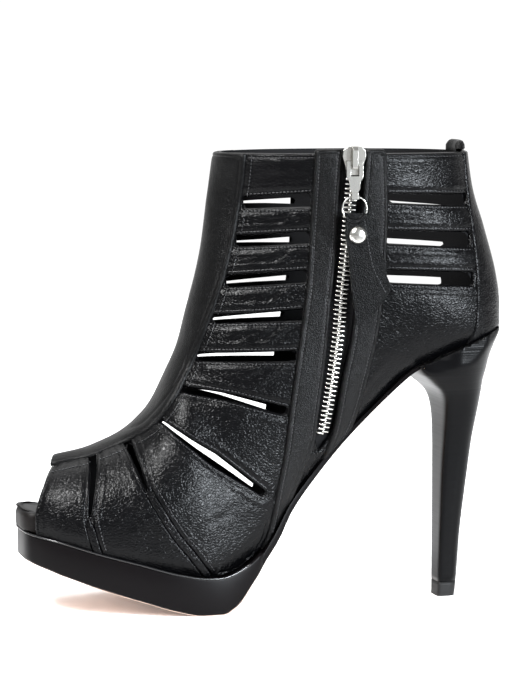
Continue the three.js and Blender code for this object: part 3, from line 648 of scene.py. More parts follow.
def leather_material(name, color, roughness, grain, grain_depth, specular):
    """Grained leather: creased cells of the grain's size in metres, large and small, over soft waves."""
    material, tree, shader = new_material(name)
    set_shader(shader, color, roughness, specular=specular)
    place = add_node(tree, "ShaderNodeTexCoord").outputs["Object"]
    normal = bump(tree, noise(tree, place, 110, 2).outputs["Fac"], 0.0005)
    moved = add_node(tree, "ShaderNodeMixRGB", Fac=0.0011)
    moved.blend_type = "ADD"
    tree.links.new(place, moved.inputs["Color1"])
    tree.links.new(noise(tree, place, 0.7 / grain, 2).outputs["Color"], moved.inputs["Color2"])
    for size, share in ((grain, 1.0), (grain * 0.55, 0.3)):
        cells = add_node(tree, "ShaderNodeTexVoronoi", Scale=1 / size, feature="DISTANCE_TO_EDGE")
        tree.links.new(moved.outputs["Color"], cells.inputs["Vector"])
        cell_height = smooth_range(tree, cells.outputs["Distance"], 0, 0.3)
        normal = bump(tree, cell_height, grain_depth * share, normal)
    tree.links.new(normal, shader.inputs["Normal"])
    return material


def plain_material(name, color, roughness, metallic=0.0, specular=0.5, bump_scale=0.0, bump_depth=0.0):
    material, tree, shader = new_material(name)
    set_shader(shader, color, roughness, metallic, specular)
    if bump_scale:
        place = add_node(tree, "ShaderNodeTexCoord").outputs["Object"]
        height = noise(tree, place, bump_scale, 3).outputs["Fac"]
        tree.links.new(bump(tree, height, bump_depth), shader.inputs["Normal"])
    return material


def stacked_material(name, color, roughness, layer, layer_depth):
    """Stacked and lacquered layers: fine level lines."""
    material, tree, shader = new_material(name)
    set_shader(shader, color, roughness, specular=0.07)
    layers = add_node(tree, "ShaderNodeMapping")
    layers.inputs["Scale"].default_value = (30, 30, 1 / layer)
    tree.links.new(add_node(tree, "ShaderNodeTexCoord").outputs["Object"], layers.inputs["Vector"])
    height = noise(tree, layers.outputs["Vector"], 1, 3).outputs["Fac"]
    tree.links.new(bump(tree, height, layer_depth), shader.inputs["Normal"])
    return material


def footbed_material():
    """Grey cover on top, dark brown layers on the side."""
    material, tree, shader = new_material("footbed_leather")
    set_shader(shader, (0.1, 0.1, 0.105), 0.5, specular=0.14)
    upward = part_of(tree, add_node(tree, "ShaderNodeNewGeometry").outputs["Normal"], "Z")
    share = smooth_range(tree, upward, 0.55, 0.9)
    color = mixed(tree, share, (0.0022, 0.0014, 0.0012), (0.018, 0.018, 0.019))
    tree.links.new(color, shader.inputs["Base Color"])
    return material


strap_leather = leather_material(
    "strap_leather", (0.0008, 0.0008, 0.001), 0.26, 0.0013, 0.00007, specular=0.1,
)
band_leather = leather_material(
    "band_leather", (0.001, 0.001, 0.0011), 0.36, 0.0009, 0.00005, specular=0.1,
)
facing_leather = leather_material(
    "facing_leather", (0.0012, 0.0012, 0.0013), 0.34, 0.0008, 0.00006, specular=0.12,
)
tab_leather = leather_material(
    "tab_leather", (0.0009, 0.0009, 0.001), 0.36, 0.0009, 0.00008, specular=0.08,
)
lining_leather = plain_material(
    "lining_leather", (0.002, 0.002, 0.0024), 0.8, specular=0.15, bump_scale=900, bump_depth=0.00005,
)
thread = plain_material("thread", (0.008, 0.008, 0.009), 0.35, specular=0.4)
footbed_leather = footbed_material()
stacked = stacked_material("stacked", (0.0009, 0.0009, 0.0011), 0.3, 0.0011, 0.00012)
platform_finish = stacked_material("platform_finish", (0.0014, 0.001, 0.0012), 0.34, 0.004, 0.00001)
rim_finish = plain_material("rim_finish", (0.003, 0.003, 0.0033), 0.25, specular=0.5)
sole_tan = plain_material("sole_tan", (0.6, 0.43, 0.35), 0.5)
rubber = plain_material("rubber", (0.003, 0.003, 0.003), 0.6, specular=0.2)
nickel = plain_material("nickel", (0.52, 0.51, 0.48), 0.24, metallic=1.0)
zip_cloth = plain_material(
    "zip_cloth", (0.0015, 0.0015, 0.0019), 0.8, specular=0.15, bump_scale=2500, bump_depth=0.00004,
)

# Upper: the outer surface on each side, with folded edges along its openings


def slots_on(side):
    return inner_slots if side < 0 else outer_slots


def upper_field(side):
    """How far inside the leather a place is, from the nearest opening or edge."""
    def field(p):
        parts = [from_slots(p, slots_on(side)), from_peep(p), collar_height - p[..., 2], from_sole(p)]
        if side < 0:
            parts.append(-distance_in(zip_outline, p[..., 0], p[..., 2]))
        return np.min(parts, axis=0)

    return field


fold_width = 4.4
fold_height = 0.35
stitch_inset = 1.7
stitch_groove = 0.22
puff_height = 0.6
edge_levels = [0, 0.12, 0.45, 1.0, 1.35, 1.7, 2.05, fold_width - 0.6, fold_width + 0.3]
groove_levels = (0.25, 0.8)
groove_depth = 0.45
seam_step = 1.7
seam_reach = (5.2, 6.0)
seam_levels = (seam_step, 1.85, 2.4, *seam_reach)


def hump(value, middle, width):
    """1 at the middle, falling to nothing a few widths away from it."""
    return np.exp(-(((value - middle) / width) ** 2))


def crease_height(x, z):
    """Soft troughs, each with a ridge above it."""
    height = np.zeros(np.shape(x))
    for share_x, share_z, lean, length, width, depth in creases:
        angle = math.radians(lean)
        dx, dz = x - along(share_x), z - up(share_z)
        ahead = dx * math.cos(angle) + dz * math.sin(angle)
        over = dz * math.cos(angle) - dx * math.sin(angle)
        profile = 0.4 * hump(over, 1.7 * width, width) - 0.6 * hump(over, 0, width)
        height += depth * hump(ahead, 0, length) * profile
    return height


def make_upper(side, name):
    """The upper's outer skin on one side, with its folds, grooves, seams and creases."""
    grooves = panel_lines + (zip_side_lines if side < 0 else [])
    lines = [(line, groove_levels) for line in grooves] + [(line, seam_levels) for line in seam_lines]
    points, outward, edge, faces = cut_sheet(
        half(form_points, side), half(form_outward, side), upper_field(side), edge_levels, False,
        slots_on(side), lines,
    )
    x, z = points[:, 0], points[:, 2]
    free = from_sole(points) > edge + 0.01
    height = np.where(free, rounded(edge, 1.0, -leather, 0), 0)
    fold = fold_height * (1 - smooth_step(fold_width - 0.6, fold_width + 0.3, edge))
    groove = stitch_groove * hump(edge, stitch_inset, 0.3)
    puff = puff_height * smooth_step(0.5, 6, edge)
    height = height + np.where(free, fold - groove, 0) + puff - 0.4
    for line in grooves:
        away = to_line(line, x, z)
        height += 0.25 * hump(away, 1.1, 0.7) - groove_depth * hump(away, 0, 0.45)
    for line, crossing in zip(seam_lines, seam_crossings):
        away = to_line(line, x, z)
        turned = rounded(away - seam_step, 0.7, -0.7, 0.1) * smooth_step(crossing + 1, crossing - 3, z)
        height += np.where(away < seam_reach[1], turned * (1 - smooth_step(*seam_reach, away)), 0)
    height += crease_height(x, z) * smooth_step(0.3, 2.5, edge)
    placed = points + outward * height[:, None]
    keep_skin(side, placed, faces)
    return make_object(name, placed, faces, strap_leather)


upper_inner = make_upper(-1, "upper_inner")
upper_outer = make_upper(1, "upper_outer")
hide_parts("upper")


def make_lining(side, name):
    """A plain skin just inside the leather, on every second line of the form's grid."""
    grid = half(form_points, side)[::2, ::2], half(form_outward, side)[::2, ::2]
    points, outward, edge, faces = cut_sheet(*grid, upper_field(side), [0], False, slots_on(side))
    placed = points - outward * (leather + 0.02)
    return make_object(name, placed, faces[:, ::-1], lining_leather)


make_lining(-1, "lining_inner")
make_lining(1, "lining_outer")

# Raised pieces on the upper


def at_points(value, points):
    """A size that is the same all over, or one worked out from the place."""
    return value(points) if callable(value) else value


def raised_piece(name, node, field, side, material, stitches=(2.0,), radius=0.9, rise=overlay):
    """A piece laid on the upper, on one side or (side 0) round both, with a rounded edge."""
    grid = form_points, form_outward
    if side != 0:
        grid = half(form_points, side), half(form_outward, side)
    levels = [0, 0.1, 0.35, 0.9]
    for inset in stitches:
        levels += [inset - 0.35, inset, inset + 0.35]
    points, outward, edge, faces = cut_sheet(*grid, field, levels, side == 0)
    height = rounded(edge, at_points(radius, points), -0.3, at_points(rise, points))
    for inset in stitches:
        height = height - 0.25 * hump(edge, inset, 0.3)
    height = height + 0.5 * crease_height(points[:, 0], points[:, 2]) * smooth_step(0.5, 3, edge)
    placed = points + outward * height[:, None]
    keep_skin(side, placed, faces)
    made = make_object(name, placed, faces, material)
    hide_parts(node)
    return made


band_overhang = 0.7


def inside(outline, top, overhang=None):
    """How far inside an outline a place is, below a level, above the sole and behind the toe opening."""
    def field(p):
        parts = [distance_in(outline, p[..., 0], p[..., 2]), top - p[..., 2], from_sole(p)]
        if overhang is not None:
            parts.append(from_peep(p) + overhang)
        return np.min(parts, axis=0)

    return field


def toe_roll(p):
    """Share of the band's roll, from none behind the toe to the whole at its end."""
    return smooth_step(along(-0.34), along(-0.425), p[:, 0])


raised_piece(
    "front_band_cover", "front_band", inside(band_outline, collar_height, band_overhang), 0,
    band_leather,
    radius=lambda p: 1.2 + 3.4 * toe_roll(p), rise=lambda p: overlay + 3.9 * toe_roll(p),
)
raised_piece(
    "back_strip_cover", "back_strip", inside(back_outline, collar_height), 0,
    strap_leather, stitches=(), rise=0.9,
)
facing_top = collar_height + facing_rise
side_front = front_facing_front[front_facing_front[:, 1] > up(0.1)]
for name, node, front, rear, top, side in (
    ("front_facing_cover", "zip_facing_front", front_facing_front, front_facing_rear, facing_top, -1),
    ("rear_facing_cover", "zip_facing_rear", rear_facing_front, rear_facing_rear, facing_top, -1),
    ("side_band_cover", "side_band_lateral", side_front, rear_facing_rear, collar_height, 1),
):
    strip = inside(np.vstack([front, rear[::-1]]), top)
    raised_piece(name, node, strip, side, facing_leather)


def seam_field(line, half_width, top):
    """How far inside a seam's bead a place is. The bead tapers below its top."""
    def field(p):
        width = half_width * smooth_step(top, top - 8, p[..., 2])
        away = np.minimum(width - to_line(line, p[..., 0], p[..., 2]), top - p[..., 2])
        return np.min([away, -distance_in(band_outline, p[..., 0], p[..., 2]), from_sole(p)], axis=0)

    return field


for number, (line, crossing) in enumerate(zip(seam_lines, seam_crossings), start=1):
    for side, word in ((-1, "medial"), (1, "lateral")):
        raised_piece(
            f"vamp_seam_{word}_{number}_cover", f"vamp_seam_{word}_{number}",
            seam_field(line, seam_step, crossing + 1), side, strap_leather, stitches=(),
            radius=0.6, rise=0.45,
        )

# Stitches and zip teeth, laid on the surfaces already made

stitch_length = 1.05
stitch_pitch = 1.5
stitch_radius = 0.24
trees = {}
for side, pieces in skins.items():
    counts = np.cumsum([0] + [len(points) for points, _ in pieces])
    trees[side] = BVHTree.FromPolygons(
        np.vstack([points for points, _ in pieces]).tolist(),
        np.vstack([faces + first for (_, faces), first in zip(pieces, counts)]).tolist(),
    )
form_tree = BVHTree.FromPolygons(
    form_points.reshape(-1, 3).tolist(),
    grid_faces(form_points.shape[0], form_points.shape[1], True).tolist(),
)


def touch(tree, side, x, z):
    """Where a level line from the side meets a surface, with its outward direction."""
    place, outward, _, _ = tree.ray_cast(Vector((x, side * 200, z)), Vector((0, -side, 0)))
    if place is None:
        return None, None
    return place, outward if outward.y * side > 0 else -outward


def resampled(line, pitch, offset=0.0):
    """Points at an even pitch along a line, with its direction at each."""
    steps = np.linalg.norm(np.diff(line, axis=0), axis=1)
    distance = np.concatenate([[0], np.cumsum(steps)])
    wanted = np.arange(offset, distance[-1], pitch)
    points = np.column_stack([np.interp(wanted, distance, line[:, k]) for k in (0, 1)])
    way = np.gradient(points, axis=0) if len(points) > 1 else np.zeros_like(points)
    way /= np.linalg.norm(way, axis=1)[:, None] + 1e-12
    return points, way


def rod(rings_at, shape, start, way, across_way, outward):
    """Rings of points along a direction: each ring's place, half width and top, over its shape."""
    rows = []
    for place, half_width, top in rings_at:
        middle = start + way * place
        rows.append([middle + across_way * (a * half_width) + outward * (b * top) for a, b in shape])
    return rows


def rods_object(name, rods, material, body="boot"):
    """One object from many rods, each with closed ends."""
    points, faces = [], []
    for rows in rods:
        first = len(points)
        count = len(rows[0])
        points += [tuple(p) for row in rows for p in row]
        faces += (grid_faces(len(rows), count, True) + first).tolist()
        for base, flip in ((first, False), (first + (len(rows) - 1) * count, True)):
            for k in range(1, count - 1):
                cap = [base, base + k, base + k + 1]
                faces.append(cap[::-1] if flip else cap)
    return make_object(name, points, faces, material, body)


stitch_shape = [(math.cos(a), math.sin(a)) for a in np.linspace(0, 2 * math.pi, 6, endpoint=False)]
stitch_rings = [
    (-stitch_length / 2, 0.35 * stitch_radius, 0.35 * stitch_radius),
    (-stitch_length / 4, stitch_radius, stitch_radius),
    (stitch_length / 4, stitch_radius, stitch_radius),
    (stitch_length / 2, 0.35 * stitch_radius, 0.35 * stitch_radius),
]


def stitch_run(line, side, keep=None):
    """Stitches along a line of the side view, on the outermost surface of a side."""
    made = []
    points, ways = resampled(np.asarray(line), stitch_pitch, stitch_pitch / 2)
    for (x, z), (wx, wz) in zip(points, ways):
        if keep is not None and not keep(x, z):
            continue
        place, outward = touch(trees[side], side, x, z)
        ahead, _ = touch(trees[side], side, x + wx * 0.4, z + wz * 0.4)
        if place is None or ahead is None or abs(outward.y) < 0.15:
            continue
        way = (ahead - place).normalized()
        way = (way - outward * way.dot(outward)).normalized()
        start = place + outward * 0.08
        made.append(rod(stitch_rings, stitch_shape, start, way, outward.cross(way), outward))
    return made


def on_straps(side):
    """True where the upper's own leather shows."""
    middle = np.vstack([front_facing_front, rear_facing_rear[::-1]])

    def keep(x, z):
        hidden = max(
            float(distance_in(shape, np.array([x]), np.array([z]))[0])
            for shape in (band_outline, middle, back_outline)
        )
        return hidden < -0.5 and 1.2 < collar_height - z

    return keep


def stitch_lines(side):
    """All stitches of one side: round its slots, beside its raised pieces and under the collar."""
    keep = on_straps(side)

    def under_collar(x, z):
        return z < collar_height - 1

    def beside_strip(x, z):
        return up(0.17) < z < collar_height - 1

    def beside_zip(x, z):
        return zip_end < z < collar_height + 0.5

    def beside_seam(x, z):
        return keep(x, z) and z - float(height_at(sole_line, x)) > 2

    made = []
    slots = slots_on(side)
    for row in slots[:7] + slots[9:]:
        outline = slot_outline(row)
        front, rear = outline[:3], outline[:2:-1]
        for edge_line in (front, rear):
            direction = edge_line - (front + rear) / 2
            direction /= np.linalg.norm(direction, axis=1)[:, None] + 1e-12
            made += stitch_run(edge_line + direction * 1.25, side, keep)
    runs = [
        (band_edge, 2.0, under_collar),
        (front_facing_front, 2.0, beside_strip),
        (rear_facing_rear, -2.0, beside_strip),
    ]
    if side < 0:
        runs += [(front_facing_rear, -2.0, beside_zip), (rear_facing_front, 2.0, beside_zip)]
    runs += [(line, 3.7, beside_seam) for line in seam_lines]
    for line, distance, where in runs:
        made += stitch_run(beside(line, distance), side, where)
    level = collar_height - 1.8
    made += stitch_run(np.array([[band_edge[0, 0], level], [back_strip_edge[0, 0], level]]), side, keep)
    return made


for side, word in ((-1, "inner"), (1, "outer")):
    rods_object(f"stitches_{word}", stitch_lines(side), thread)

# Zip teeth: bars across the chain with a wider head, each place along the bar with its half width
# and its height over the upper's form

tooth_pitch = 2.0
tooth_rings = [
    (-0.6, 0.28, 0.3), (-0.5, 0.42, 0.55), (0.1, 0.44, 0.62), (0.5, 0.4, 0.6), (2.3, 0.4, 0.55),
    (2.55, 0.36, 0.45), (2.65, 0.25, 0.25),
]
tooth_shape = [
    (-1, -0.9), (1, -0.9), (1, 0.45), (0.72, 0.85), (0.3, 1), (-0.3, 1), (-0.72, 0.85), (-1, 0.45),
]


def teeth(side_of_chain, phase):
    """One side's teeth: 1 in front of the zip's line, -1 behind it."""
    made = []
    points, ways = resampled(zip_line, tooth_pitch, phase + 1.0)
    for (x, z), (wx, wz) in zip(points, ways):
        if z > collar_height - 10:
            continue
        nx, nz = wz * side_of_chain, -wx * side_of_chain
        near, outward = touch(form_tree, -1, x, z)
        far, _ = touch(form_tree, -1, x + nx * 2.6, z + nz * 2.6)
        way = (far - near).normalized()
        outward = (outward - way * outward.dot(way)).normalized()
        made.append(rod(tooth_rings, tooth_shape, near, way, outward.cross(way), outward))
    return made


for name, node, side_of_chain, phase in (
    ("teeth_front_cover", "zip_teeth_front", 1, 0),
    ("teeth_rear_cover", "zip_teeth_rear", -1, tooth_pitch / 2),
):
    made = rods_object(name, teeth(side_of_chain, phase), nickel)
    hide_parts(node)

# Sole pieces as rings of their plan outline


def stack_piece(name, node, outline, bottom, top, material, low_edge, high_edge):
    """A piece between two lines of the side view, inside a plan outline, with rounded edges."""
    middle = np.array([outline[:, 0], np.interp(outline[:, 0], *mid_line(outline))]).T
    inward = outline.mean(axis=0) - outline
    inward /= np.linalg.norm(inward, axis=1)[:, None]
    low, high = bottom(outline[:, 0]), top(outline[:, 0])
    quarter_turn = np.linspace(0, math.pi / 2, 5)

    def level(share, surface):
        flat = middle + (outline - middle) * share
        return np.column_stack([flat, surface(flat[:, 0])])

    def edge_ring(inset, height):
        return np.column_stack([outline + inward * inset[:, None], height])

    rows = [level(share, bottom) for share in (0.0, 0.5, 0.9)]
    room = np.minimum(low_edge, (high - low) / 2)
    rows += [edge_ring(room * (1 - math.sin(t)), low + room * (1 - math.cos(t))) for t in quarter_turn]
    room = np.minimum(high_edge, (high - low) / 2)
    rows += [edge_ring(room * (1 - math.cos(t)), high - room * (1 - math.sin(t))) for t in quarter_turn]
    rows += [level(share, top) for share in (0.9, 0.5, 0.0)]
    points = np.array(rows)
    faces = grid_faces(len(rows), len(outline), True)
    made = make_object(name, points.reshape(-1, 3), faces, material)
    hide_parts(node)
    return made


def mid_line(outline):
    """Middle of an outline along x, as two rows for interpolation."""
    xs = np.linspace(outline[:, 0].min(), outline[:, 0].max(), 80)
    ys = []
    for x in xs:
        crossing = []
        for (ax, ay), (bx, by) in zip(outline, np.roll(outline, -1, axis=0)):
            if (ax - x) * (bx - x) <= 0 and ax != bx:
                crossing.append(ay + (by - ay) * (x - ax) / (bx - ax))
        ys.append((min(crossing) + max(crossing)) / 2 if crossing else 0)
    return xs, np.array(ys)


def clipped(outline, low, high):
    """An outline held between two places along the boot."""
    kept = outline.copy()
    kept[:, 0] = np.clip(kept[:, 0], low, high)
    return kept


outsole_top = platform_bottom
sole_thickness = np.array([
    [along(-0.6), outsole_thickness], [along(0.02), outsole_thickness],
    [along(0.25), shank_thickness], [along(0.6), shank_thickness],
])
slope = np.gradient(outsole_top[:, 1], outsole_top[:, 0])
outsole_bottom = np.column_stack([
    outsole_top[:, 0],
    np.maximum(
        outsole_top[:, 1] - height_at(sole_thickness, outsole_top[:, 0]) * np.sqrt(1 + slope**2), 0
    ),
])
platform_outline = clipped(plan_outline(0), toe_end, along(-0.004))
stack_piece(
    "platform_cover", "platform", platform_outline,
    lambda x: height_at(outsole_bottom, x) + 0.4, lambda x: height_at(sole_line, x) - 0.05,
    platform_finish, 0.8, 0.8,
)
heel_breast = along(0.335)
outsole_outline = clipped(plan_outline(0.6), toe_end, heel_breast)
outsole_cover = stack_piece(
    "outsole_cover", "outsole", outsole_outline,
    lambda x: height_at(outsole_bottom, x), lambda x: height_at(outsole_top, x) - 0.02,
    platform_finish, 0.5, 0.1,
)
mesh = outsole_cover.data
mesh.materials.append(sole_tan)
for face in mesh.polygons:
    if face.normal[2] < -0.3:
        face.material_index = 1

# Rim along the platform's top edge

rim_radius = 0.42


def platform_rim():
    """A thin rounded rim along the platform's top edge."""
    outline = platform_outline[platform_outline[:, 0] < along(-0.03)]
    first = np.argmax(np.linalg.norm(np.diff(outline, axis=0), axis=1)) + 1
    outline = np.vstack([outline[first:], outline[:first]])
    table = np.column_stack([outline, height_at(sole_line, outline[:, 0])])
    way = np.gradient(table, axis=0)
    way /= np.linalg.norm(way, axis=1)[:, None]
    side_way = np.cross(way, [0, 0, 1.0])
    side_way /= np.linalg.norm(side_way, axis=1)[:, None]
    over = np.cross(side_way, way)
    angles = np.linspace(0, 2 * math.pi, 8, endpoint=False)
    rows = [
        [p + rim_radius * (a * math.cos(t) + b * math.sin(t)) for t in angles]
        for p, a, b in zip(table, side_way, over)
    ]
    rods_object("platform_rim", [rows], rim_finish)


platform_rim()

# Footbed: in front of the toe opening out to its lip, behind it inside the upper

footbed_inset = 12
footbed_top = np.array([
    [along(-0.6), footbed_toe], [along(-0.08), footbed_toe], [along(0.08), footbed_heel],
    [along(0.6), footbed_heel],
])
peep_foot = np.interp(up(0.2), peep_edge[::-1, 1], peep_edge[::-1, 0])


def footbed_outline():
    """Plan outline: the lip at the toe opening, tucked behind the upper, then well inside it."""
    lip, tucked, inner = (plan_outline(inset, 448) for inset in (-0.8, 3.5, footbed_inset))
    limit = peep_hinge[0] + (
        peep_foot - peep_hinge[0] - (lip[:, 1] - peep_hinge[1]) * math.sin(peep_turn)
    ) / math.cos(peep_turn)
    share = smooth_step(limit - 7, limit, lip[:, 0])[:, None]
    nose = lip * (1 - share) + tucked * share
    held = np.column_stack([np.minimum(nose[:, 0], limit + 3), nose[:, 1]])
    return np.where((lip[:, 0] < limit + 5)[:, None], held, inner)


stack_piece(
    "footbed_cover", "footbed", footbed_outline(),
    lambda x: height_at(sole_line, x) + 0.3,
    lambda x: height_at(sole_line, x) + height_at(footbed_top, x) * 1.03,
    footbed_leather, 1.2, 2.8,
)

# Heel: height as a share of the heel's, breast x, back x, half width

heel_rows = np.array([
    [0, 0.379, 0.4205, 0.07], [0.055, 0.38, 0.4245, 0.073], [0.252, 0.3815, 0.4325, 0.086],
    [0.462, 0.383, 0.447, 0.105], [0.588, 0.3845, 0.456, 0.126], [0.689, 0.384, 0.466, 0.158],
    [0.756, 0.375, 0.4712, 0.2], [0.807, 0.345, 0.4745, 0.25], [0.849, 0.318, 0.4802, 0.29],
    [0.908, 0.31, 0.4873, 0.33], [0.992, 0.31, 0.5061, 0.36], [1.06, 0.31, 0.52, 0.36],
])
heel_axis = along(0.4)
heel_front_share, heel_back_share = 0.42, 0.58
seat_rows = np.array(outline_rows + [[outline_back[0], 0, 0]])


def heel_ring(row, count=96):
    """The heel's outline at one level: flatter at the breast, rounder at the back."""
    level, breast, back, half_width = row
    length = along(back - breast)
    middle = along(breast) + length * heel_front_share
    angle = np.linspace(0, 2 * math.pi, count, endpoint=False)
    c, s = np.cos(angle), np.sin(angle)
    power = np.where(c < 0, 2 / 7, 2 / 2.3)
    reach = np.where(c < 0, length * heel_front_share, length * heel_back_share)
    x = middle + np.sign(c) * reach * np.abs(c) ** power
    y = np.sign(s) * across(half_width) * np.abs(s) ** power
    turn = math.radians(heel_turn)
    dx = x - heel_axis
    placed_x = heel_axis + dx * math.cos(turn) - y * math.sin(turn)
    placed_y = dx * math.sin(turn) + y * math.cos(turn)
    return np.column_stack([placed_x, placed_y, np.full(count, level * heel_height)])


def heel_pieces():
    """The heel and its top piece, with the heel's upper end held inside the sole's outline."""
    rows = spline(heel_rows, 88)
    split = top_piece_height / heel_height
    lower = [row for row in rows if row[0] < split]
    upper_rows = [row for row in rows if row[0] > split + 0.004]
    border = np.array([np.interp(split - 0.0025, rows[:, 0], rows[:, k]) for k in range(4)])
    over = np.array([np.interp(split, rows[:, 0], rows[:, k]) for k in range(4)])
    for name, node, table, material, slot in (
        ("heel_cover", "heel", [over, *upper_rows], stacked, "stacked_black"),
        ("top_piece_cover", "heel_top_piece", [*lower, border], rubber, "top_piece_rubber"),
    ):
        rings = np.array([heel_ring(row) for row in table])
        limit = height_at(sole_line, rings[:, :, 0]) - 0.1
        rings[:, :, 2] = np.minimum(rings[:, :, 2], limit)
        near_seat = smooth_step(heel_height * 0.8, heel_height * 0.9, rings[:, :, 2])
        inner_limit, outer_limit = (
            np.interp(rings[:, :, 0], along(seat_rows[:, 0]), across(seat_rows[:, k])) for k in (1, 2)
        )
        held = np.clip(rings[:, :, 1], -inner_limit - 0.3, outer_limit + 0.3)
        rings[:, :, 1] += (held - rings[:, :, 1]) * near_seat
        ends = [rings[:1].mean(axis=1, keepdims=True), rings[-1:].mean(axis=1, keepdims=True)]
        closing = [np.repeat(ends[1], rings.shape[1], axis=1)]
        if node == "heel":
            closing = [rings[-1:] + (ends[1] - rings[-1:]) * share for share in (0.1, 0.5, 1.0)]
            for one in closing:
                one[:, :, 2] = height_at(sole_line, one[:, :, 0]) - 0.4
        rings = np.concatenate([np.repeat(ends[0], rings.shape[1], axis=1), rings, *closing])
        made = make_object(
            name, rings.reshape(-1, 3), grid_faces(rings.shape[0], rings.shape[1], True)[:, ::-1],
            material,
        )
        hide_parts(node)


heel_pieces()

# Pull tab: a folded loop of leather over the back of the collar, as distance out of the upper's
# form and height over the collar

tab_section = np.array([
    [-2.3, -6], [-2.3, 0.3], [-0.7, 0.5], [-0.3, 1.3], [-0.5, 2.9], [-1.2, 4.2], [-2.4, 4.7],
    [-3.6, 4.3], [-4.5, 3.0], [-4.7, 1.0], [-4.5, -6],
])
tab_half_width = 12.0


def pull_tab():
    """Sections of the loop, one for each place round the back of the collar."""
    places_round = []
    for column in range(half_columns - 40, half_columns + 41):
        line, out = form_points[:, column], form_outward[:, column]
        rows_up = slice(len(line) - 40, len(line))
        x, y = (np.interp(collar_height, line[rows_up, 2], line[rows_up, k]) for k in (0, 1))
        nx, ny = (np.interp(collar_height, line[rows_up, 2], out[rows_up, k]) for k in (0, 1))
        places_round.append((x, y, nx, ny))
    table = np.array([row for row in places_round if abs(row[1]) < tab_half_width])
    distance = np.concatenate([[0], np.cumsum(np.linalg.norm(np.diff(table[:, :2], axis=0), axis=1))])
    sections_made = []
    for s in np.linspace(0, distance[-1], 25):
        x, y, nx, ny = (np.interp(s, distance, table[:, k]) for k in range(4))
        size = math.hypot(nx, ny)
        from_end = min(s, distance[-1] - s)
        low = math.sqrt(max(0.0, 1 - (1 - min(from_end / 3.5, 1)) ** 2))
        ribs = 0.12 * math.sin(2.6 * s)
        ring_points = []
        for out, rise in tab_section:
            lifted = rise * (0.25 + 0.75 * low) if rise > 0.5 else rise
            thick = -2.2 + (out + 2.2) * (0.6 + 0.4 * low) + (ribs if rise > 1 else 0)
            ring_points.append((x + nx / size * thick, y + ny / size * thick, collar_height + lifted))
        sections_made.append(ring_points)
    return sections_made


tab_cover = rods_object("pull_tab_cover", [pull_tab()], facing_leather)
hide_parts("heel_pull_tab")

# Stitches down the free edge of the leather tab

tab_stitch_line = drawn([
    [0.1986, 0.853], [0.2038, 0.8183], [0.209, 0.7857], [0.2163, 0.7517], [0.2286, 0.7246],
    [0.241, 0.7005],
], 30)


def tab_stitches():
    """Stitches on the leather tab's own solid."""
    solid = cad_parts["pull_leather_tab"]
    mesh = solid.data
    mesh.calc_loop_triangles()
    corners = [solid.matrix_world @ v.co for v in mesh.vertices]
    tree = BVHTree.FromPolygons(
        [list(np.array(c) * 1000 - shift) for c in corners],
        [list(t.vertices) for t in mesh.loop_triangles],
    )
    made = []
    points, ways = resampled(tab_stitch_line, stitch_pitch)
    for (x, z), (wx, wz) in zip(points, ways):
        place, outward = touch(tree, -1, x, z)
        ahead, _ = touch(tree, -1, x + wx * 0.4, z + wz * 0.4)
        if place is None or ahead is None or abs(outward.y) < 0.5:
            continue
        way = (ahead - place).normalized()
        start = place + outward * 0.12
        made.append(rod(stitch_rings, stitch_shape, start, way, outward.cross(way), outward))
    return made


rods_object("stitches_tab", tab_stitches(), thread, "pull")

# Solids that show as they are

for node, material in (
    ("zip_tape", zip_cloth),
    ("zip_slider", nickel),
    ("zip_puller", nickel), ("pull_ring", nickel), ("pull_leather_tab", tab_leather),
    ("pull_stud", nickel),
):
    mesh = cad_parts[node].data
    mesh.materials.clear()
    mesh.materials.append(material)

for node in ("zip_slider", "zip_puller", "pull_leather_tab", "pull_ring"):
    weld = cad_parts[node].modifiers.new("weld", "WELD")
    weld.merge_threshold = 1e-6
for node, width in (("zip_slider", 0.15), ("zip_puller", 0.12), ("pull_leather_tab", 0.4)):
    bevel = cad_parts[node].modifiers.new("bevel", "BEVEL")
    bevel.width = width / 1000
    bevel.segments = 3
    bevel.limit_method = "ANGLE"
    bevel.angle_limit = math.radians(35)
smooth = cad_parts["pull_ring"].modifiers.new("smooth", "SUBSURF")
smooth.levels = smooth.render_levels = 2

# Floor and light


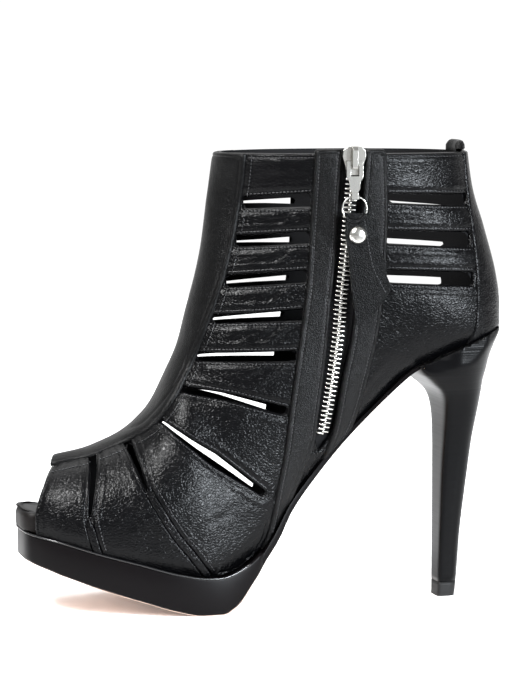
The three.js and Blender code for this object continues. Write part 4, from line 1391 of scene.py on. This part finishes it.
def add_light(name, place, target, size, power, color=(1, 1, 1)):
    data = bpy.data.lights.new(name, "AREA")
    data.shape = "RECTANGLE"
    data.size, data.size_y = size
    data.energy = power
    data.color = color
    light = bpy.data.objects.new(name, data)
    light.location = place
    light.rotation_mode = "QUATERNION"
    light.rotation_quaternion = (Vector(target) - Vector(place)).to_track_quat("-Z", "Y")
    bpy.context.scene.collection.objects.link(light)


def make_floor():
    """Pale floor with painted shade in front, so dark leather doesn't mirror it, and painted light far
    away.
    """
    bpy.ops.mesh.primitive_plane_add(size=3.2, location=(0, 0, 0))
    floor = bpy.context.object
    floor.name = "floor"
    material, tree, shader = new_material("floor_white")
    set_shader(shader, (0.9, 0.9, 0.9), 0.8, specular=0.1)
    place = add_node(tree, "ShaderNodeTexCoord").outputs["Object"]
    # Painted shade: the floor's colour turns dark in front of the boot, standing in for light falling
    # off there.
    behind = smooth_range(tree, part_of(tree, place, "Y"), -0.3, -0.14)
    color = mixed(tree, behind, (0.08, 0.08, 0.08), (0.9, 0.9, 0.9))
    tree.links.new(color, shader.inputs["Base Color"])
    # Painted light: the floor glows, faintly near the boot and strongly far from it, so it reads as
    # brightly lit white.
    distance = add_node(tree, "ShaderNodeVectorMath", operation="LENGTH")
    tree.links.new(place, distance.inputs[0])
    painted_glow = smooth_range(tree, distance.outputs["Value"], 0.2, 0.9, 0.06, 0.5)
    shader.inputs["Emission Color"].default_value = (1, 1, 1, 1)
    tree.links.new(painted_glow, shader.inputs["Emission Strength"])
    floor.data.materials.append(material)


def make_world():
    """A white studio, dimmer in front of the inner side than behind the boot."""
    world = bpy.data.worlds.new("world")
    world.use_nodes = True
    tree = world.node_tree
    way = add_node(tree, "ShaderNodeTexCoord").outputs["Generated"]
    background = tree.nodes["Background"]
    background.inputs["Color"].default_value = (1, 1, 1, 1)
    strength = smooth_range(tree, part_of(tree, way, "Y"), -0.1, 0.7, 0.35, 1.05)
    tree.links.new(strength, background.inputs["Strength"])
    bpy.context.scene.world = world


make_floor()
make_world()
add_light("top", (0.0, 0.5, 1.4), (0, 0, 0.1), (1.4, 0.9), 15)
add_light("left", (-0.7, -0.72, 1.1), (-0.05, 0, 0.07), (0.3, 0.4), 52)
add_light("right", (0.85, -1.1, 0.38), (0.05, 0, 0.13), (0.3, 0.4), 54, (0.88, 0.94, 1.0))
bpy.context.scene.view_settings.view_transform = "Standard"
